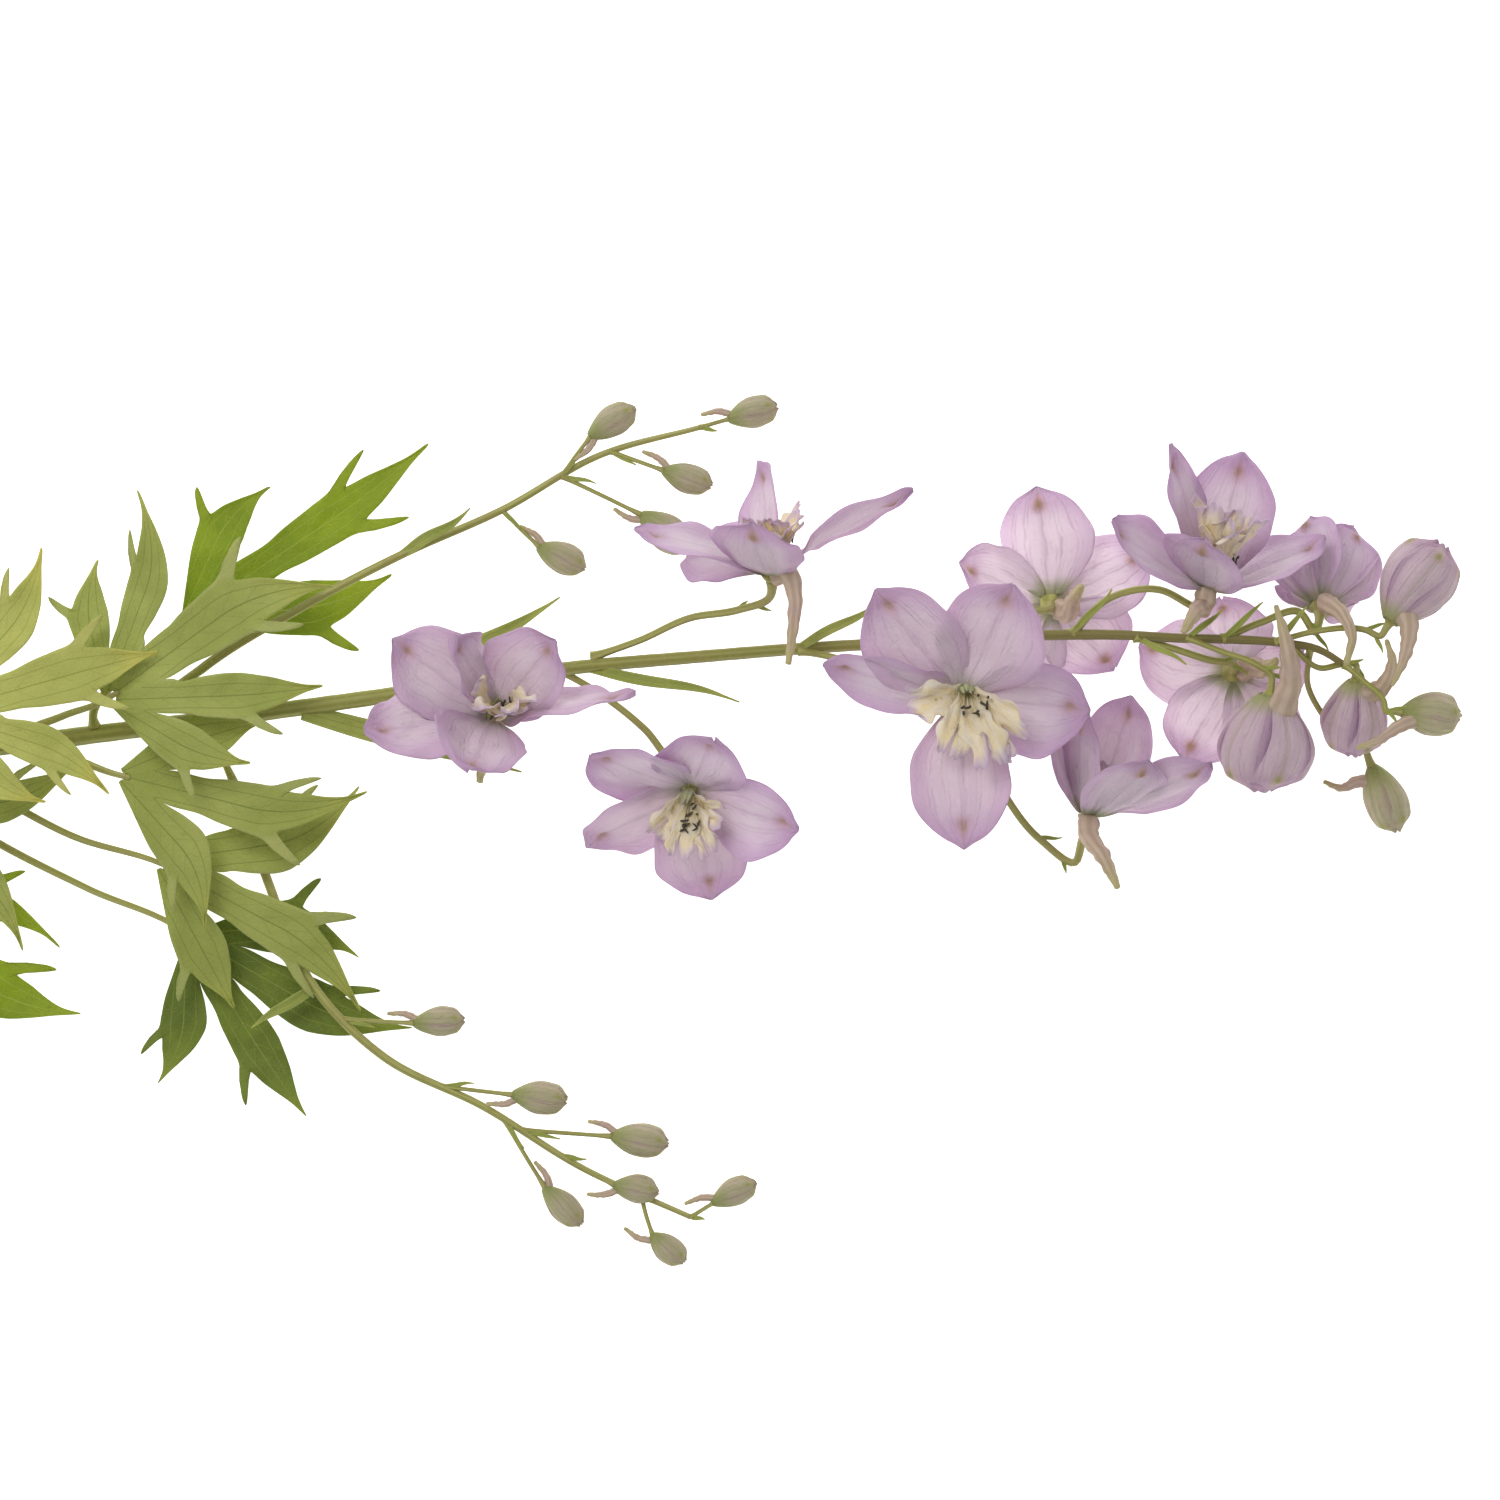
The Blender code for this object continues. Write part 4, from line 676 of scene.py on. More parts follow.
def makeEye(number, bloom):
    if not bloom["eye"]:
        return 0
    start = place(*bloom["at"]) + bloom.get("eyeShift", (0, 0, 0))
    axes = flowerAxes(bloom.get("eyeFace", bloom["face"]), bloom["back"])
    pick, batch = np.random.default_rng(40 + number), newBatch()
    size, spread = bloom["eye"]
    wide = spread * np.clip((np.mean([sepal[3] for sepal in bloom["sepals"]]) - 30) / 34, 0.4, 1.0)
    for kind in ("upper", "lower"):
        for k, turn in enumerate(eyeForm[kind]["turns"]):
            turn, grown = turn + bloom.get("eyeTurn", 0) + pick.uniform(-7, 7), size * pick.uniform(0.86, 1.12)
            net, u, v = innerPetal(kind, turn, grown, wide, number + 2.3 * k + (kind == "lower"))
            mark = netMark(u, (v + 1) / 2, pick.uniform())
            addSheet(batch, [start + net @ axes], sizes["innerPetal"], 0, [mark])
    for k in range(3):  # carpels, on the side away from the spur
        angle = radians(180 + 62 * (k - 1) + pick.uniform(-8, 8))
        lean = np.array([sin(angle), cos(angle), 0]) * (0.7 + 0.5 * wide)
        path = smooth([lean * out + [0, 0, high] for out, high in eyeForm["carpel"]], 14)
        radius = np.interp(np.linspace(0, 1, 14), [0, 0.4, 0.75, 1], eyeForm["carpelRadii"])
        addTube(batch, start + path @ axes, radius, 10, 1)
    s = np.linspace(-1, 1, 9)[:, None]
    for _ in range(eyeForm["anthers"]):  # stamens: a bent thread and a dark oval anther
        angle = radians(-32 + 34 * np.clip(pick.normal(), -1.6, 1.6))
        out, high = pick.uniform(1.8, 6.6) * (0.4 + 0.6 * wide) * size / 1.3, pick.uniform(5.2, 8.0)
        lean = np.array([sin(angle), cos(angle), 0])
        head = lean * out + [0, 0, high]
        path = smooth([lean * 0.9 + [0, 0, 0.7], lean * (0.7 + out * 0.4) + [0, 0, high * 0.6], head], 9)
        addTube(batch, start + path @ axes, eyeForm["thread"], 5, 3)
        aim, bow = unit(pick.normal(size=3) + [0, 0, 0.3]), pick.normal(size=3) * 0.35
        oval = head + aim * s * eyeForm["antherHalf"] + bow * s**2
        addTube(batch, start + oval @ axes, eyeForm["antherWide"] * np.sqrt(1 - 0.8 * s[:, 0]**2), 8, 2)
    for k, turn in enumerate(eyeForm["lower"]["turns"]):  # beard: short hairs on the throat of the lower petals
        net, u, v = innerPetal("lower", turn, size, wide, number + 2.3 * k + 1)
        for _ in range(eyeForm["beard"] // 2):
            root = net[pick.integers(5, 20), pick.integers(6, 22)]
            aim = unit(pick.normal(size=3) * 0.5 + [0, 0.1, 1.0]) * pick.uniform(0.5, 1.2)
            path = smooth([root, root + aim * 0.5, root + aim + [0, -0.3, 0]], 5)
            addTube(batch, start + path @ axes, eyeForm["hair"], 4, 3)
    return finishPiece(f"bloomEye{number}", batch, [eyeFinish, carpelGreen, antherDark, beardCream],
                       f"bloom_{number}_eye")


buds = [
    dict(base=(1270, 694, 30), tip=(1262, 792, 27), half=10.4, green=False,
         spur=[(1289, 682, 35), (1283, 640, 37.5), (1274, 606, 36)],
         stalk=[(1187, 638, 29), (1222, 652, 31), (1254, 664, 31.5)]),
    dict(base=(1390, 622, 29), tip=(1443, 543, 27), half=8.0, green=False,
         spur=[(1408, 632, 33), (1402, 658, 36), (1390, 686, 36)],
         stalk=[(1275, 642, 29), (1312, 632, 30), (1365, 630, 29.5)]),
    dict(base=(1357, 680, 23), tip=(1356, 756, 17), half=7.2, green=False,
         spur=[(1383, 686, 26.5), (1392, 664, 29), (1386, 640, 30)],
         stalk=[(1290, 644, 28.8), (1322, 668, 25.5), (1344, 664, 24.5)]),
    dict(base=(1402, 712, 27), tip=(1462, 716, 24), half=4.8, green=True,
         spur=[(1396, 728, 30), (1374, 742, 31), (1356, 748, 30)],
         stalk=[(1345, 665, 28), (1362, 680, 29.5), (1384, 702, 28)]),
    dict(base=(1376, 766, 12), tip=(1404, 832, 9), half=4.6, green=True,
         spur=[(1362, 782, 12), (1346, 788, 12), (1328, 782, 12)],
         stalk=[(1310, 648, 28.6), (1312, 690, 18), (1340, 730, 12.5), (1364, 750, 11.8)]),
]
budForm = {"rows": 34, "columns": 21, "overlap": 0.7, "closed": 0.5, "base": (-0.9, -0.5, 0.1, 0.7, 1.2),
           "baseWidths": (0.8, 1.1, 1.55, 1.9, 1.7)}


def budRadius(half, u):
    return half * sin(pi * (0.03 + 0.9 * u**1.19)) ** 0.62


def addBud(batch, base, tip, half, slot, seed, rows, columns):
    # five folded sepals: radius = half sin(pi (0.03 + 0.9 u^1.19))^0.62, each reaching over the next by a fifth
    axis, length = unit(tip - base), norm(tip - base)
    across = unit(np.cross(axis, [0.3, 0.2, 1.0]))
    up = np.cross(across, axis)
    u, v = netGrid(rows, columns)
    narrow = 1 - 0.25 * step(u, 0.86, 1.0)
    for k in range(5):
        turn = (k + 0.5 + budForm["overlap"] * narrow * v - 0.25 * u + 0.05 * sin(seed * 3 + k * 2)) * 2 * pi / 5
        fold = 1 + 0.033 * v * narrow * sin(pi * np.minimum(1, 0.15 + u)) + 0.035 * cos(pi * v)
        fold += 0.018 * sin(9 * u + 5 * v + seed + k) - 0.035 * exp(-(v / 0.09) ** 2)
        fold += 0.05 * exp(-((u - 0.84) / 0.07) ** 2 - (v / 0.45) ** 2)
        radius = budRadius(half, u) * fold * (1 - budForm["closed"] * step(u, 0.84, 1.0))
        tooth = 0.05 * length * step(u, 0.55, 1.0) * (cos(v * 1.5) - 0.45) + 0.15 * sin(seed + 2 * k) * u**3
        net = (base + axis * (u * length * 0.97 + tooth)[..., None]
               + radius[..., None] * (cos(turn)[..., None] * across + sin(turn)[..., None] * up))
        addSheet(batch, [net], min(sizes["sepal"], half * 0.08), slot,
                 [netMark(u, (v + 1) / 2, (seed * 0.37 + 0.61 * k) % 1)])
    s = np.linspace(0.02, 0.9, 14)  # packed inner petals close the bud's inside
    addTube(batch, base + axis * (s * length)[:, None], budRadius(half, s) * (0.945 - 0.1 * s), 16, slot,
            value=(seed * 0.3) % 1)
    return axis


def makeBud(number, bud):
    base, half, batch = place(*bud["base"]), bud["half"], newBatch()
    axis = addBud(batch, base, place(*bud["tip"]), half, 0, number * 1.3, budForm["rows"], budForm["columns"])
    points = places(bud["spur"])
    out = points[0] - base - axis * ((points[0] - base) @ axis)
    inside = base + axis * 3.2 + unit(out) * half * 0.35
    addSpur(batch, [inside] + points, np.linspace(0.3 * half + 0.4, 0.42, len(points) + 1), 1, number + 3,
            count=50, sides=18)
    widths = np.array(budForm["baseWidths"]) * (0.5 + half / 16)
    addTube(batch, base + axis * column(budForm["base"]), widths, 16, 2)
    return finishPiece(f"bud{number}", batch, [greenBudFinish if bud["green"] else budFinish, spurSkin, twigGreen],
                       f"bud_{number}")


# knots: layout point, height, radius. cut: slant of the end. lip, bore, boreEnd: shares of the end's radius
mainStalk = {
    "knots": [(-500, 815, 2.45, 2.4), (-350, 790, 4.2, 2.35), (-150, 763, 7.5, 2.25), (0, 745, 10.5, 2.1),
              (200, 720, 14.5, 1.9), (400, 693, 18.5, 1.7), (558, 669, 22.5, 1.5), (704, 656, 25.5, 1.37),
              (806, 648, 27.0, 1.3), (930, 641, 28.0, 1.22), (1046, 635, 28.6, 1.15), (1125, 635, 29.0, 1.08),
              (1179, 638, 29.0, 1.02), (1219, 639, 29.0, 0.98), (1275, 642, 29.0, 0.9), (1320, 650, 28.5, 0.8),
              (1345, 665, 28.0, 0.7)],
    "steps": 240, "sides": 28, "cut": 0.9, "cutReach": 3.0, "lip": 0.92, "bore": 0.5, "boreEnd": 0.3,
    "boreDepth": 9.0, "flowerStalk": 0.74, "budStalk": 0.62, "bractsAt": (0.72, 0.8),
}
# narrow leaves and bracts: root, tip, half width, sag
narrowLeaves = [
    ((300, 712, 17.5), (520, 772, 12), 2.4, -3.0), ((395, 688, 19.5), (560, 598, 21), 2.0, -3.0),
    ((585, 667, 23), (740, 700, 25), 1.2, 2.0), ((800, 647, 27.4), (884, 600, 33), 1.0, 2.0),
    ((955, 640, 28.6), (1040, 668, 33), 0.8, 1.5), ((1075, 630, 29.2), (1112, 590, 33), 0.7, 1.5),
    ((1140, 639, 29.2), (1186, 664, 33), 0.6, 1.0), ((1190, 636, 29.2), (1222, 610, 33), 0.6, 1.0),
    ((1225, 637, 29.2), (1262, 602, 32), 0.6, 1.0), ((1278, 641, 29), (1306, 606, 33), 0.6, 1.0),
]


def addBlade(batch, root, tip, half, sag, slot, seed, rows=30, columns=9):
    # narrow pointed leaf: half (0.4 + 0.6 sin(pi (0.15 + 0.8 t))) (1 - t^3), folded, its tip curled sideways
    t, v = np.linspace(0, 1, rows), np.linspace(-1, 1, columns)
    line = root + (tip - root) * t[:, None]
    line[:, 2] += sag * sin(pi * t)
    ahead = np.gradient(line, axis=0)
    ahead /= norm(ahead, axis=1)[:, None]
    side = np.cross(ahead, [0, 0, 1])
    side /= norm(side, axis=1)[:, None]
    up = np.cross(side, ahead)
    line += side * (0.035 * norm(tip - root) * sin(seed * 5) * sin(2.2 * pi * t) * t)[:, None]
    width = (half * (0.4 + 0.6 * sin(pi * (0.15 + 0.8 * t))) * (1 - t**3) + 0.12)[:, None]
    lift = 0.35 * width * np.abs(v) ** 1.3 + 0.08 * half * sin(14 * t[:, None] + 3 * v + seed) * np.abs(v)
    net = line[:, None] + side[:, None] * (width * v)[..., None] + up[:, None] * lift[..., None]
    mark = netMark(t[:, None], np.abs(v), (seed * 0.3) % 1)
    addSheet(batch, [raised(net, sizes["lowPetal"])[:, ::-1]], sizes["bract"], slot, [mark[:, ::-1]])


def addBracts(batch, path, slot, seed, length):
    # a pair of thread-like leaves where a flower stalk nears its flower
    pick = np.random.default_rng(seed)
    for share in mainStalk["bractsAt"]:
        k = int(share * len(path))
        ahead = unit(path[k + 1] - path[k - 1])
        side = unit(np.cross(ahead, unit(pick.normal(size=3))))
        tip = path[k] + (ahead * 0.75 + side * 0.65) * length * pick.uniform(0.7, 1.2)
        addBlade(batch, path[k], tip, 0.36, 0.0, slot, pick.uniform(0, 3), rows=14, columns=5)


def addFlowerStalk(batch, points, ends, radius, sides, number, seed, bract, count=60):
    # widest where it leaves the stalk and under its flower
    path, s = smooth(places(points) + ends, count), np.linspace(0, 1, count)
    flare = 1 + 0.9 * exp(-s * 26) + 0.55 * exp(-(1 - s) * 20)
    addTube(batch, path, radius * (1 + 0.2 * s) * flare, sides, 2, value=0.1 * number)
    addBracts(batch, path, 3, seed, bract)


def cutEnd(batch, start, ahead):
    # leads the tube's first end in round the pith, ring by ring, and shears the end to a slant
    form, co = mainStalk, batch["co"][0]
    sides, pole, ring = form["sides"], form["steps"] * form["sides"], np.arange(form["sides"])
    middle = co[:sides].mean(axis=0)
    spoke, depth = co[:sides] - middle, ahead * form["boreDepth"]
    bore = middle + spoke * form["bore"]
    rings = [middle + spoke * form["lip"], bore, bore + depth * 0.5, start + depth + spoke * form["boreEnd"]]
    index = [ring] + [len(co) + k * sides + ring for k in range(len(rings))]
    around = [np.stack([low, np.roll(low, -1), np.roll(high, -1), high], axis=1)
              for low, high in zip(index, index[1:])]
    cap = np.stack([np.full(sides, pole), index[-1], np.roll(index[-1], -1), np.full(sides, -1)], axis=1)
    faces, walls = batch["faces"][0], np.concatenate(around + [cap])
    faces = faces[~(faces == pole).any(axis=1)]
    co[pole] = start + depth
    co = np.concatenate([co, *rings])
    near = exp(-np.clip(co[:, 0] - start[0], 0, None) / form["cutReach"])
    co[:, 0] += form["cut"] * (co[:, 2] - start[2]) * near
    mark = np.tile([0.0, 0.5, 0.5, 0.0], (len(rings) * sides, 1))
    mark[:, 1] = np.tile(ring / sides, len(rings))
    batch.update(co=[co], faces=[np.concatenate([faces, walls])], count=len(co),
                 mark=[np.concatenate([batch["mark"][0], mark])],
                 slot=[np.r_[np.zeros(len(faces), int), np.ones(len(walls), int)]])


def stalkLine(count):
    return smooth([(*place(*point), r) for *point, r in mainStalk["knots"]], count)


def makeStalk():
    form, batch = mainStalk, newBatch()
    main = stalkLine(form["steps"])
    path, around = main[:, :3], circle(form["sides"])
    ribs = 1 + 0.035 * cos(7 * around) + 0.015 * sin(path[:, :1] * 0.9) + 0.02 * cos(3 * around)
    addTube(batch, path, main[:, 3:] * ribs, form["sides"], 0, ends=(0.0, 0.8))
    cutEnd(batch, path[0], unit(path[1] - path[0]))
    for number, bloom in enumerate(blooms, 1):
        start, axes = place(*bloom["at"]), flowerAxes(bloom["face"], bloom["back"])
        ends = [start - axes[2] * 7.0 - axes[1] * 1.1, start - axes[2] * 4.4, start - axes[2] * 2.3]
        addFlowerStalk(batch, bloom["stalk"], ends, form["flowerStalk"], 14, number, number, 5.0)
    for number, bud in enumerate(buds, 1):
        base = place(*bud["base"])
        axis = unit(place(*bud["tip"]) - base)
        ends = [base - axis * 3.6, base - axis * 1.6, base - axis * 0.1]
        addFlowerStalk(batch, bud["stalk"], ends, form["budStalk"], 12, number, 20 + number, 6.0)
    for number, (root, tip, half, sag) in enumerate(narrowLeaves):
        addBlade(batch, place(*root), place(*tip), half, sag, 3, number * 0.7, rows=44, columns=11)
    return finishPiece("mainStalk", batch, [stalkGreen, cutPith, twigGreen, leafFinishes["grey"]], "stem")


# stalk: layout point, height, radius. buds: where its twig starts, base, tip, half width
shoots = [
    dict(stalk=[(150, 710, 16.5, 1.1), (200, 668, 18, 1.1), (300, 606, 16, 1.0), (400, 553, 13, 0.95),
                (500, 508, 10, 0.85), (600, 452, 8, 0.75), (700, 424, 6, 0.6)], bract=(470, 508, 17),
         buds=[((500, 508, 10), (536, 545, 8), (584, 566, 6), 3.4),
               ((560, 474, 9), (640, 512, 9), (690, 548, 8), 3.9),
               ((610, 449, 8), (662, 468, 10), (712, 484, 9), 3.2),
               ((560, 474, 9), (588, 434, 10), (634, 404, 9), 3.3),
               ((700, 424, 6), (728, 416, 6.5), (778, 402, 5.5), 3.4)]),
    dict(stalk=[(205, 735, 9.0, 1.1), (232, 790, 7, 1.1), (262, 880, 5.5, 1.05), (310, 990, 5, 1.0),
                (380, 1060, 5, 0.95), (480, 1110, 5, 0.85), (580, 1172, 5, 0.75), (690, 1222, 4.5, 0.6)],
         bract=(246, 1030, 7),
         buds=[((340, 1022, 5), (410, 1026, 7), (462, 1022, 6.5), 3.2),
               ((440, 1090, 5), (510, 1098, 7), (566, 1104, 6), 3.6),
               ((520, 1134, 5), (610, 1140, 6), (668, 1148, 5.5), 3.7),
               ((560, 1160, 5), (612, 1190, 6), (658, 1196, 5.5), 3.1),
               ((500, 1121, 5), (542, 1192, 5), (580, 1230, 4.5), 3.1),
               ((640, 1200, 4.8), (650, 1240, 4.8), (684, 1268, 4.4), 3.0),
               ((690, 1222, 4.5), (712, 1208, 5), (756, 1186, 4.6), 3.0)]),
]


seat = {"steps": 400, "sink": 0.15, "square": 1.9}


def seated(knots):
    # starts a side stalk square to the main stalk, at its skin
    main = stalkLine(seat["steps"])
    line = main[:, :3]
    k = int(np.argmin(norm(line - knots[0], axis=1)))
    ahead = unit(line[min(k + 1, seat["steps"] - 1)] - line[k - 1])
    out = knots[0] - line[k]
    out = unit(out - ahead * (out @ ahead))
    reach = main[k, 3] - seat["sink"]
    return [line[k] + out * reach, line[k] + out * (reach + seat["square"])] + knots[1:]


# foot: how much wider its foot is. buds nearer their root than seatedBud have no twig of their own
shootForm = {"steps": 120, "sides": 16, "foot": 1.5, "rows": 18, "columns": 11, "twig": 0.48, "twigSteps": 24,
             "twigSides": 9, "seatedBud": 1.0}


def makeShoot(number, shoot):
    batch = newBatch()
    form, radii = shootForm, [r for *_, r in shoot["stalk"]]
    knots = seated([place(*point) for *point, _ in shoot["stalk"]])
    path = smooth([(*p, r) for p, r in zip(knots, [radii[0] * form["foot"]] + radii)], form["steps"])
    addTube(batch, path[:, :3], path[:, 3], form["sides"], 0)
    count = form["twigSteps"]
    swell = 0.6 * exp(-np.linspace(0, 12, count)) + 0.5 * step(np.arange(count), 18, count - 1)
    for k, (*points, half) in enumerate(shoot["buds"]):
        root, base, tip = places(points)
        hand = 1 if k % 2 else -1
        axis = addBud(batch, base, tip, half, 1, number * 7 + k * 1.9, form["rows"], form["columns"])
        if norm(base - root) > form["seatedBud"]:
            twig = smooth([root, (root + base) / 2 + [0, 0, 0.4], base + axis * 0.6], count)
            addTube(batch, twig, form["twig"] * (1 + swell), form["twigSides"], 0)
            addBlade(batch, root, root + (base - root) * 0.35 + [1.5, 1.5 * hand, 0.6], 0.45, 0.3, 3, k + 0.5,
                     rows=14, columns=5)
        side = unit(np.cross(axis, [0, 0, 1])) * hand
        addSpur(batch, [base + axis * 2.2, base - axis * 1.5 + side * 2.2, base - axis * 5.5 + side * 2.6],
                [0.85, 0.75, 0.4], 2, k + number, count=22, sides=10)
    addBlade(batch, place(*shoot["stalk"][3][:3]), place(*shoot["bract"]), 1.2, 0.5, 3, number)
    return finishPiece(f"sideShoot{number}", batch, [twigGreen, greenBudFinish, spurSkin, leafFinishes["grey"]],
                       f"side_shoot_{number}")


# heading, pitch, drop, roll: how the blade lies. lobes: angle and share of the length
leaves = [
    dict(stalk=[(20, 734, 15), (60, 716, 20), (104, 700, 24)], heading=32, length=56, pitch=4, drop=9,
         roll=-9, fold=0.16, lobes=[(-62, 0.62), (-30, 0.86), (4, 1.0), (38, 0.82), (70, 0.55)], look="grey"),
    dict(stalk=[(-170, 757, 11.5), (-120, 730, 22), (-60, 712, 30)], heading=14, length=50, pitch=3, drop=7,
         roll=-5, fold=0.2, lobes=[(-66, 0.6), (-32, 0.82), (2, 1.0), (36, 0.84), (72, 0.6)], look="yellow"),
    dict(stalk=[(60, 752, 13), (84, 764, 16), (112, 774, 18.5)], heading=-14, length=55, pitch=2, drop=3,
         roll=3, fold=0.14, lobes=[(-34, 0.7), (0, 1.0), (36, 0.62)], look="grey"),
    dict(stalk=[(-260, 793, 6), (-200, 810, 11), (-130, 812, 14)], heading=-10, length=46, pitch=2, drop=6,
         roll=4, fold=0.2, lobes=[(-58, 0.7), (-22, 0.95), (14, 1.0), (50, 0.62)], look="grey"),
    dict(stalk=[(-60, 770, 8), (0, 802, 9), (70, 838, 9.5), (150, 862, 10)], heading=-22, length=56, pitch=0,
         drop=4, roll=2, fold=0.14, lobes=[(-40, 0.66), (-6, 1.0), (30, 0.84)], look="grey"),
    dict(stalk=[(-110, 778, 5.5), (-30, 832, 3.6), (80, 890, 2.6), (180, 936, 1.6)], heading=-40, length=54,
         pitch=1, drop=5, roll=0, fold=0.1, lobes=[(-52, 0.62), (-18, 0.9), (10, 1.0), (44, 0.7)],
         look="dark"),
    dict(stalk=[(-320, 808, 4.5), (-240, 856, 6.5), (-160, 892, 7)], heading=-40, length=60, pitch=3,
         drop=17, roll=5, fold=0.16, lobes=[(-60, 0.6), (-26, 0.86), (4, 1.0), (36, 0.8), (66, 0.5)],
         look="bright"),
    dict(stalk=[(90, 716, 14), (120, 672, 11), (176, 620, 9)], heading=32, length=68, pitch=-2, drop=5,
         roll=0, fold=0.14, lobes=[(-26, 0.7), (2, 1.0), (34, 0.52)], look="bright"),
]
# outline of a lobe: share of length, share of width on the side toward the middle of the leaf, then share of
# width and forward shift on the outer side, which bears a tooth like a finger
leafForm = {
    "teeth": [(0.36, 0.82, 0.82, 0.0), (0.45, 1.02, 1.0, 0.0), (0.53, 1.13, 1.14, 0.03), (0.57, 1.15, 1.27, 0.07),
              (0.595, 1.15, 1.88, 0.15), (0.612, 1.14, 2.05, 0.185), (0.63, 1.13, 1.93, 0.175),
              (0.655, 1.08, 1.16, 0.055), (0.69, 1.0, 0.95, 0.005), (0.77, 0.78, 0.75, 0.0),
              (0.85, 0.46, 0.44, 0.0), (0.92, 0.2, 0.19, 0.0), (1.0, 0.03, 0.03, 0.0)],
    "palm": (0.05, 0.27), "rowsBetween": 7, "columns": 17, "hook": 1.05, "droop": 0.003,
}


def through(rows, count):
    # cubic curves through the control rows, straight between the first two, count steps from row to row
    slope = np.gradient(rows, axis=0)
    level = np.linspace(0, len(rows) - 1, (len(rows) - 1) * count + 1)
    i = np.minimum(level.astype(int), len(rows) - 2)
    t = (level - i)[:, None, None]
    curve = hermite(t, rows[i], rows[i + 1], slope[i], slope[i + 1])
    return np.where((i < 1)[:, None, None], rows[i] * (1 - t) + rows[i + 1] * t, curve)


def heading(angle):
    return np.array([cos(angle), sin(angle)])


def lobeNets(leaf):
    # flat nets of the lobes: control rows right edge, middle, left edge, with the fold as height
    lobes, fold = leaf["lobes"], leaf["fold"]
    angles = radians([angle for angle, _ in lobes])
    reach = np.array([share for _, share in lobes]) * leaf["length"]
    gap = (angles[1:] + angles[:-1]) / 2
    turns = np.r_[2 * angles[0] - gap[0], gap, 2 * angles[-1] - gap[-1]]
    edge = np.r_[reach[0], (reach[1:] + reach[:-1]) / 2, reach[-1]]
    v = np.linspace(-1, 1, leafForm["columns"])
    share = np.abs(v)[:, None]
    nets, marks = [], []
    for k, angle in enumerate(angles):
        ahead = heading(angle)
        side = np.array([-ahead[1], ahead[0]])
        rows = []
        for t in leafForm["palm"]:
            right, left = ([*(edge[j] * t * heading(turns[j])), fold * edge[j] * t * 0.3] for j in (k, k + 1))
            rows.append([right, [*(reach[k] * t * ahead), 0], left])
        near = [j for j in (k - 1, k + 1) if 0 <= j < len(lobes)]
        room = min(min(reach[k], reach[j]) * np.tan(abs(angles[j] - angle) / 2) for j in near)
        wide = min(0.075 * leaf["length"] + 0.03 * reach[k], 0.44 * room)
        for t, inner, outer, shift in leafForm["teeth"]:
            centre, row = reach[k] * t * ahead, []
            for sign in (-1, 1):
                out, forward = (outer, shift) if sign * lobes[k][0] > -8 else (inner, 0)
                row.append([*(centre + reach[k] * forward * ahead + sign * side * wide * out), fold * wide * out])
            rows.append([row[0], [*centre, 0], row[1]])
        soft = through(np.array(rows), leafForm["rowsBetween"])
        edges = np.where(v[:, None] < 0, soft[:, :1], soft[:, 2:]) - soft[:, 1:2]
        net = soft[:, 1:2] + edges * share
        net[..., :2] += (edges[..., :2] @ ahead)[..., None] * ahead * (share**2.6 - share)
        net[..., 2] = edges[..., 2] * share[:, 0] ** 1.4
        t = norm(soft[:, 1, :2], axis=1)[:, None] / reach[k]
        plain = wide * np.interp(t, [0.36, 0.6, 0.76, 0.92, 1], [0.9, 1.2, 0.9, 0.35, 0.15])
        off = np.abs((net[..., :2] - soft[:, 1:2, :2]) @ side) / plain
        swing = leafForm["hook"] * reach[k] * np.clip(t - 0.55, 0, None) ** 2 * sin(k * 2.4 + leaf["heading"])
        net[..., :2] += swing[..., None] * side
        free = step(t, 0.3, 0.5)
        net[..., 2] += 0.4 * sin(11 * t + 2.5 * v + k) * np.abs(v) * free
        net[..., 2] += 0.25 * ripple(net[..., 0] * 0.4, net[..., 1] * 0.4, k + 7) * free
        nets.append(net)
        marks.append(netMark(t, np.minimum(off, 1), (k * 0.31) % 1))
    return nets, marks


def bendLeaf(flat, leaf, start):
    # arches the blade: pitch falls by twice the drop along it; z = fold + arch + y sin(roll) - droop y^2
    x, y, length = flat[..., 0], flat[..., 1], leaf["length"]
    s = np.linspace(0, 1, 41)
    pitch = radians(leaf["pitch"] - leaf["drop"] * s * 2)
    reach = np.clip(x, 0, length)
    z = flat[..., 2] + np.interp(reach, s * length, summed(sin(pitch), length)) + y * sin(radians(leaf["roll"]))
    x = np.interp(reach, s * length, summed(cos(pitch), length)) + np.minimum(x, 0)
    ahead = heading(radians(leaf["heading"]))
    z -= leafForm["droop"] * y**2
    return start + np.stack([x * ahead[0] - y * ahead[1], x * ahead[1] + y * ahead[0], z], axis=-1)


leafStalk = {"steps": 70, "sides": 14, "into": 3.4, "shares": (0, 0.05, 1), "radii": (1.5, 1.0, 0.62)}


def makeLeaf(number, leaf):
    batch, knots = newBatch(), places(leaf["stalk"])
    pitch = radians(leaf["pitch"])
    ahead = np.array([*heading(radians(leaf["heading"])) * cos(pitch), sin(pitch)])
    path = smooth(seated(knots) + [knots[-1] + ahead * leafStalk["into"]], leafStalk["steps"])
    radius = np.interp(np.linspace(0, 1, leafStalk["steps"]), leafStalk["shares"], leafStalk["radii"])
    addTube(batch, path, radius, leafStalk["sides"], 1)
    nets, marks = lobeNets(leaf)
    nets = [raised(bendLeaf(net, leaf, knots[-1]), sizes["lowLeaf"]) for net in nets]
    addSheet(batch, nets, sizes["leaf"], 0, marks)
    return finishPiece(f"leaf{number}", batch, [leafFinishes[leaf["look"]], twigGreen], f"leaf_{number}")


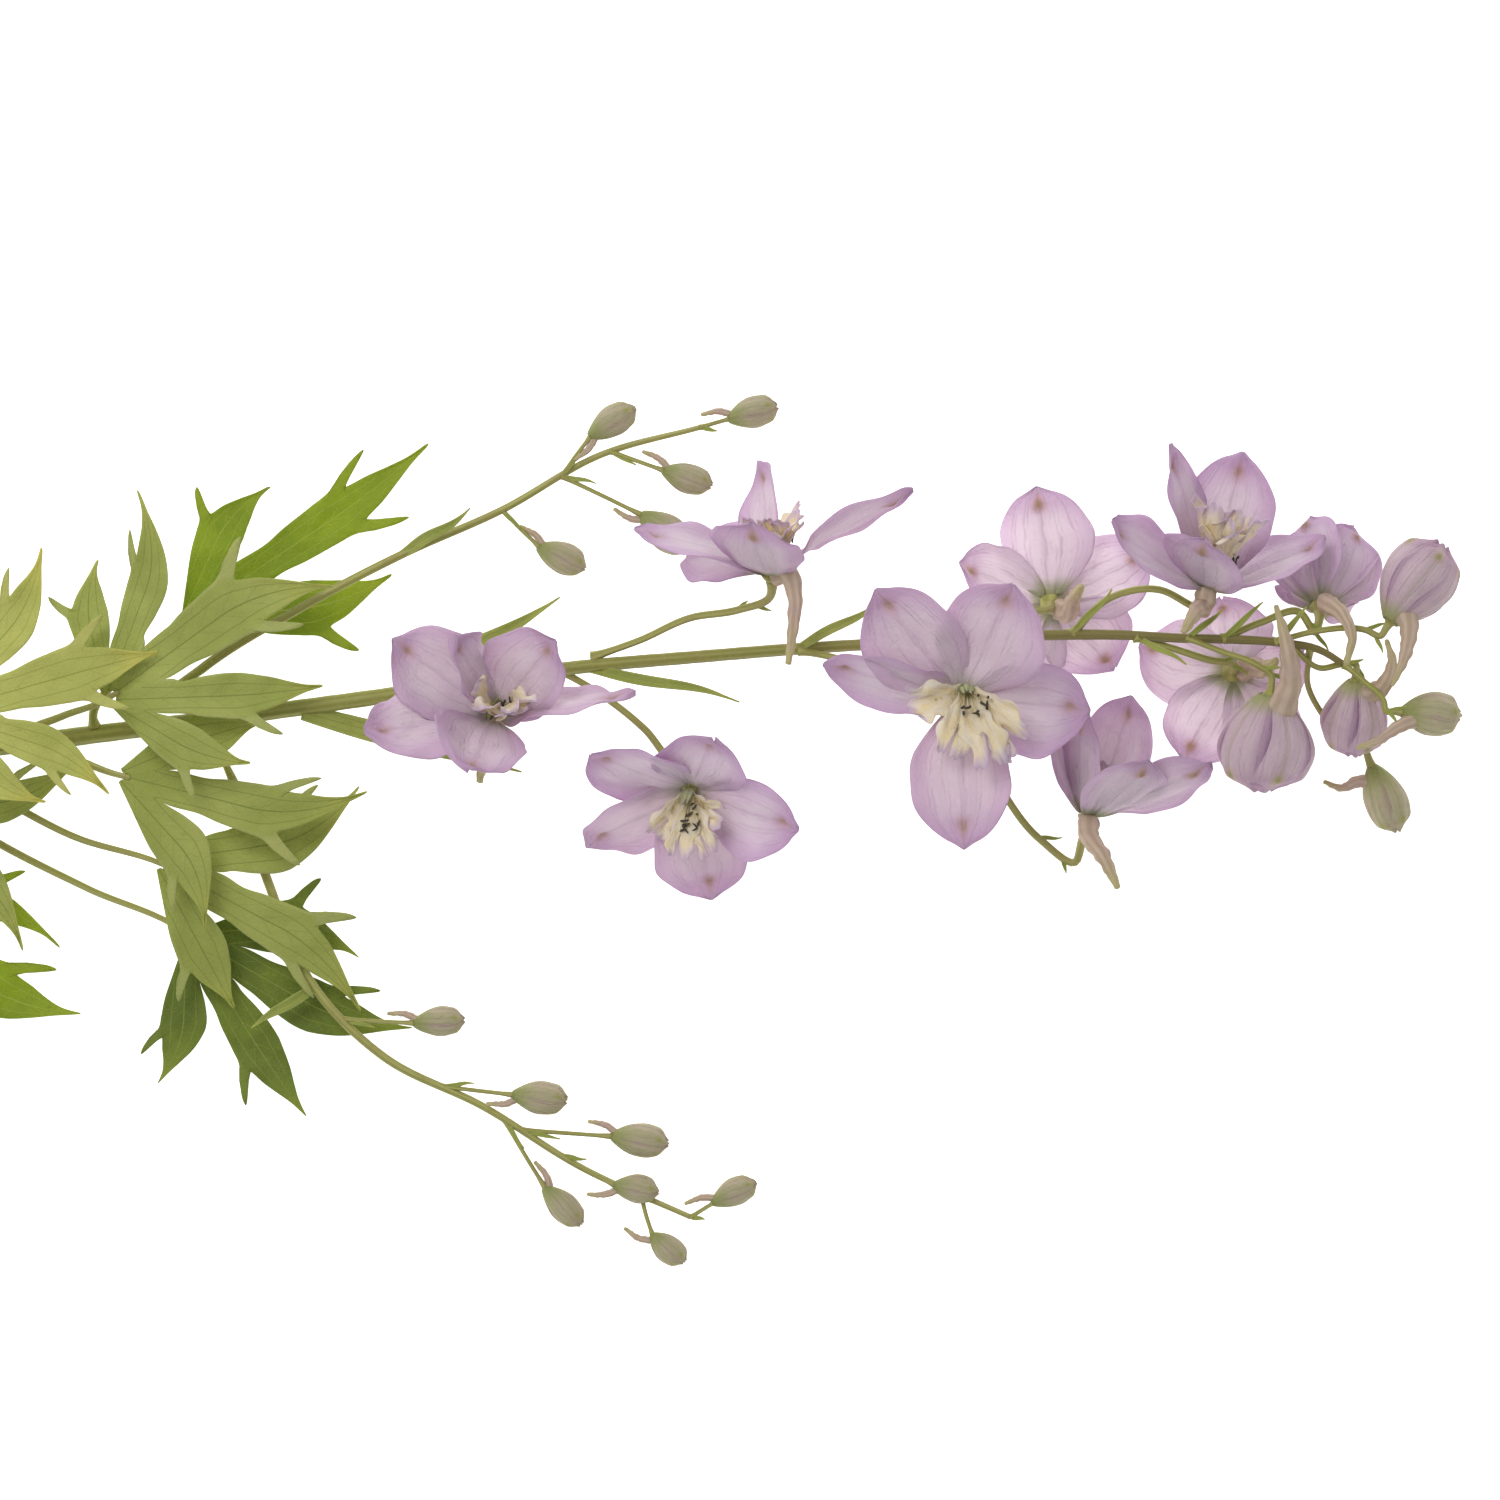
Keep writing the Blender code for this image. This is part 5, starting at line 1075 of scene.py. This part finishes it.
faces = makeStalk()
print("stalk", faces)
for stage, items, makers in (("flowers", blooms, (makeSepals, makeEye)), ("buds", buds, (makeBud,)),
                             ("side shoots", shoots, (makeShoot,)), ("leaves", leaves, (makeLeaf,))):
    for number, item in enumerate(items, 1):
        faces += sum(make(number, item) for make in makers)
    print(stage, faces)


studio = {
    "floor": 3.0, "floorAt": -0.0003, "floorColour": 0.9, "floorSeen": 0.9, "floorLight": 1.0, "skySeen": 1.0,
    "sky": 0.53, "distance": 2.2, "frameWidth": 0.33, "sensor": 36, "aim": (0.0597, 0.01827, 0.028),
    "keyAt": (-0.5, 0.7, 1.3), "keySize": 0.7, "keyPower": 9.4,
}


def seenOrLit(tree, seen, lit):
    # one strength where the camera sees it, another for the light it throws
    return timesPlus(addNode(tree, "ShaderNodeLightPath").outputs["Is Camera Ray"], seen - lit, lit)


def makeStudio():
    half = studio["floor"] / 2
    mesh = bpy.data.meshes.new("paleFloor")
    mesh.from_pydata([(-half, -half, 0), (half, -half, 0), (half, half, 0), (-half, half, 0)], [], [(0, 1, 2, 3)])
    floor = addObject("paleFloor", mesh)
    floor.location.z = studio["floorAt"]
    finish = bpy.data.materials.new("pale lit floor")
    tree = emptyTree(finish)
    matt = addNode(tree, "ShaderNodeBsdfDiffuse", (*[studio["floorColour"]] * 3, 1))
    strength = seenOrLit(tree, studio["floorSeen"], studio["floorLight"])
    glow = addNode(tree, "ShaderNodeEmission", (1, 1, 1, 1), strength)
    both = addNode(tree, "ShaderNodeAddShader", matt.outputs[0], glow.outputs[0])
    addNode(tree, "ShaderNodeOutputMaterial", both.outputs[0])
    mesh.materials.append(finish)
    world = bpy.context.scene.world = bpy.data.worlds.new("bright room")
    tree = emptyTree(world)
    sky = addNode(tree, "ShaderNodeBackground", (1, 1, 1, 1), seenOrLit(tree, studio["skySeen"], studio["sky"]))
    addNode(tree, "ShaderNodeOutputWorld", sky.outputs[0])
    light = bpy.data.lights.new("softBox", "AREA")
    light.size, light.energy = studio["keySize"], studio["keyPower"]
    key = addObject("softBox", light)
    key.location = studio["keyAt"]
    x, y, z = np.array(studio["aim"]) - studio["keyAt"]
    key.rotation_euler = (np.arctan2(np.hypot(x, y), -z), 0, np.arctan2(y, x) - pi / 2)
    lens = bpy.data.cameras.new("camera")
    lens.sensor_width, lens.clip_end = studio["sensor"], 20
    lens.lens = studio["sensor"] * studio["distance"] / studio["frameWidth"]
    camera = bpy.context.scene.camera = addObject("camera", lens)
    camera.location = np.array(studio["aim"]) + [0, 0, studio["distance"]]
    bpy.context.scene.view_settings.view_transform = "Standard"


makeStudio()
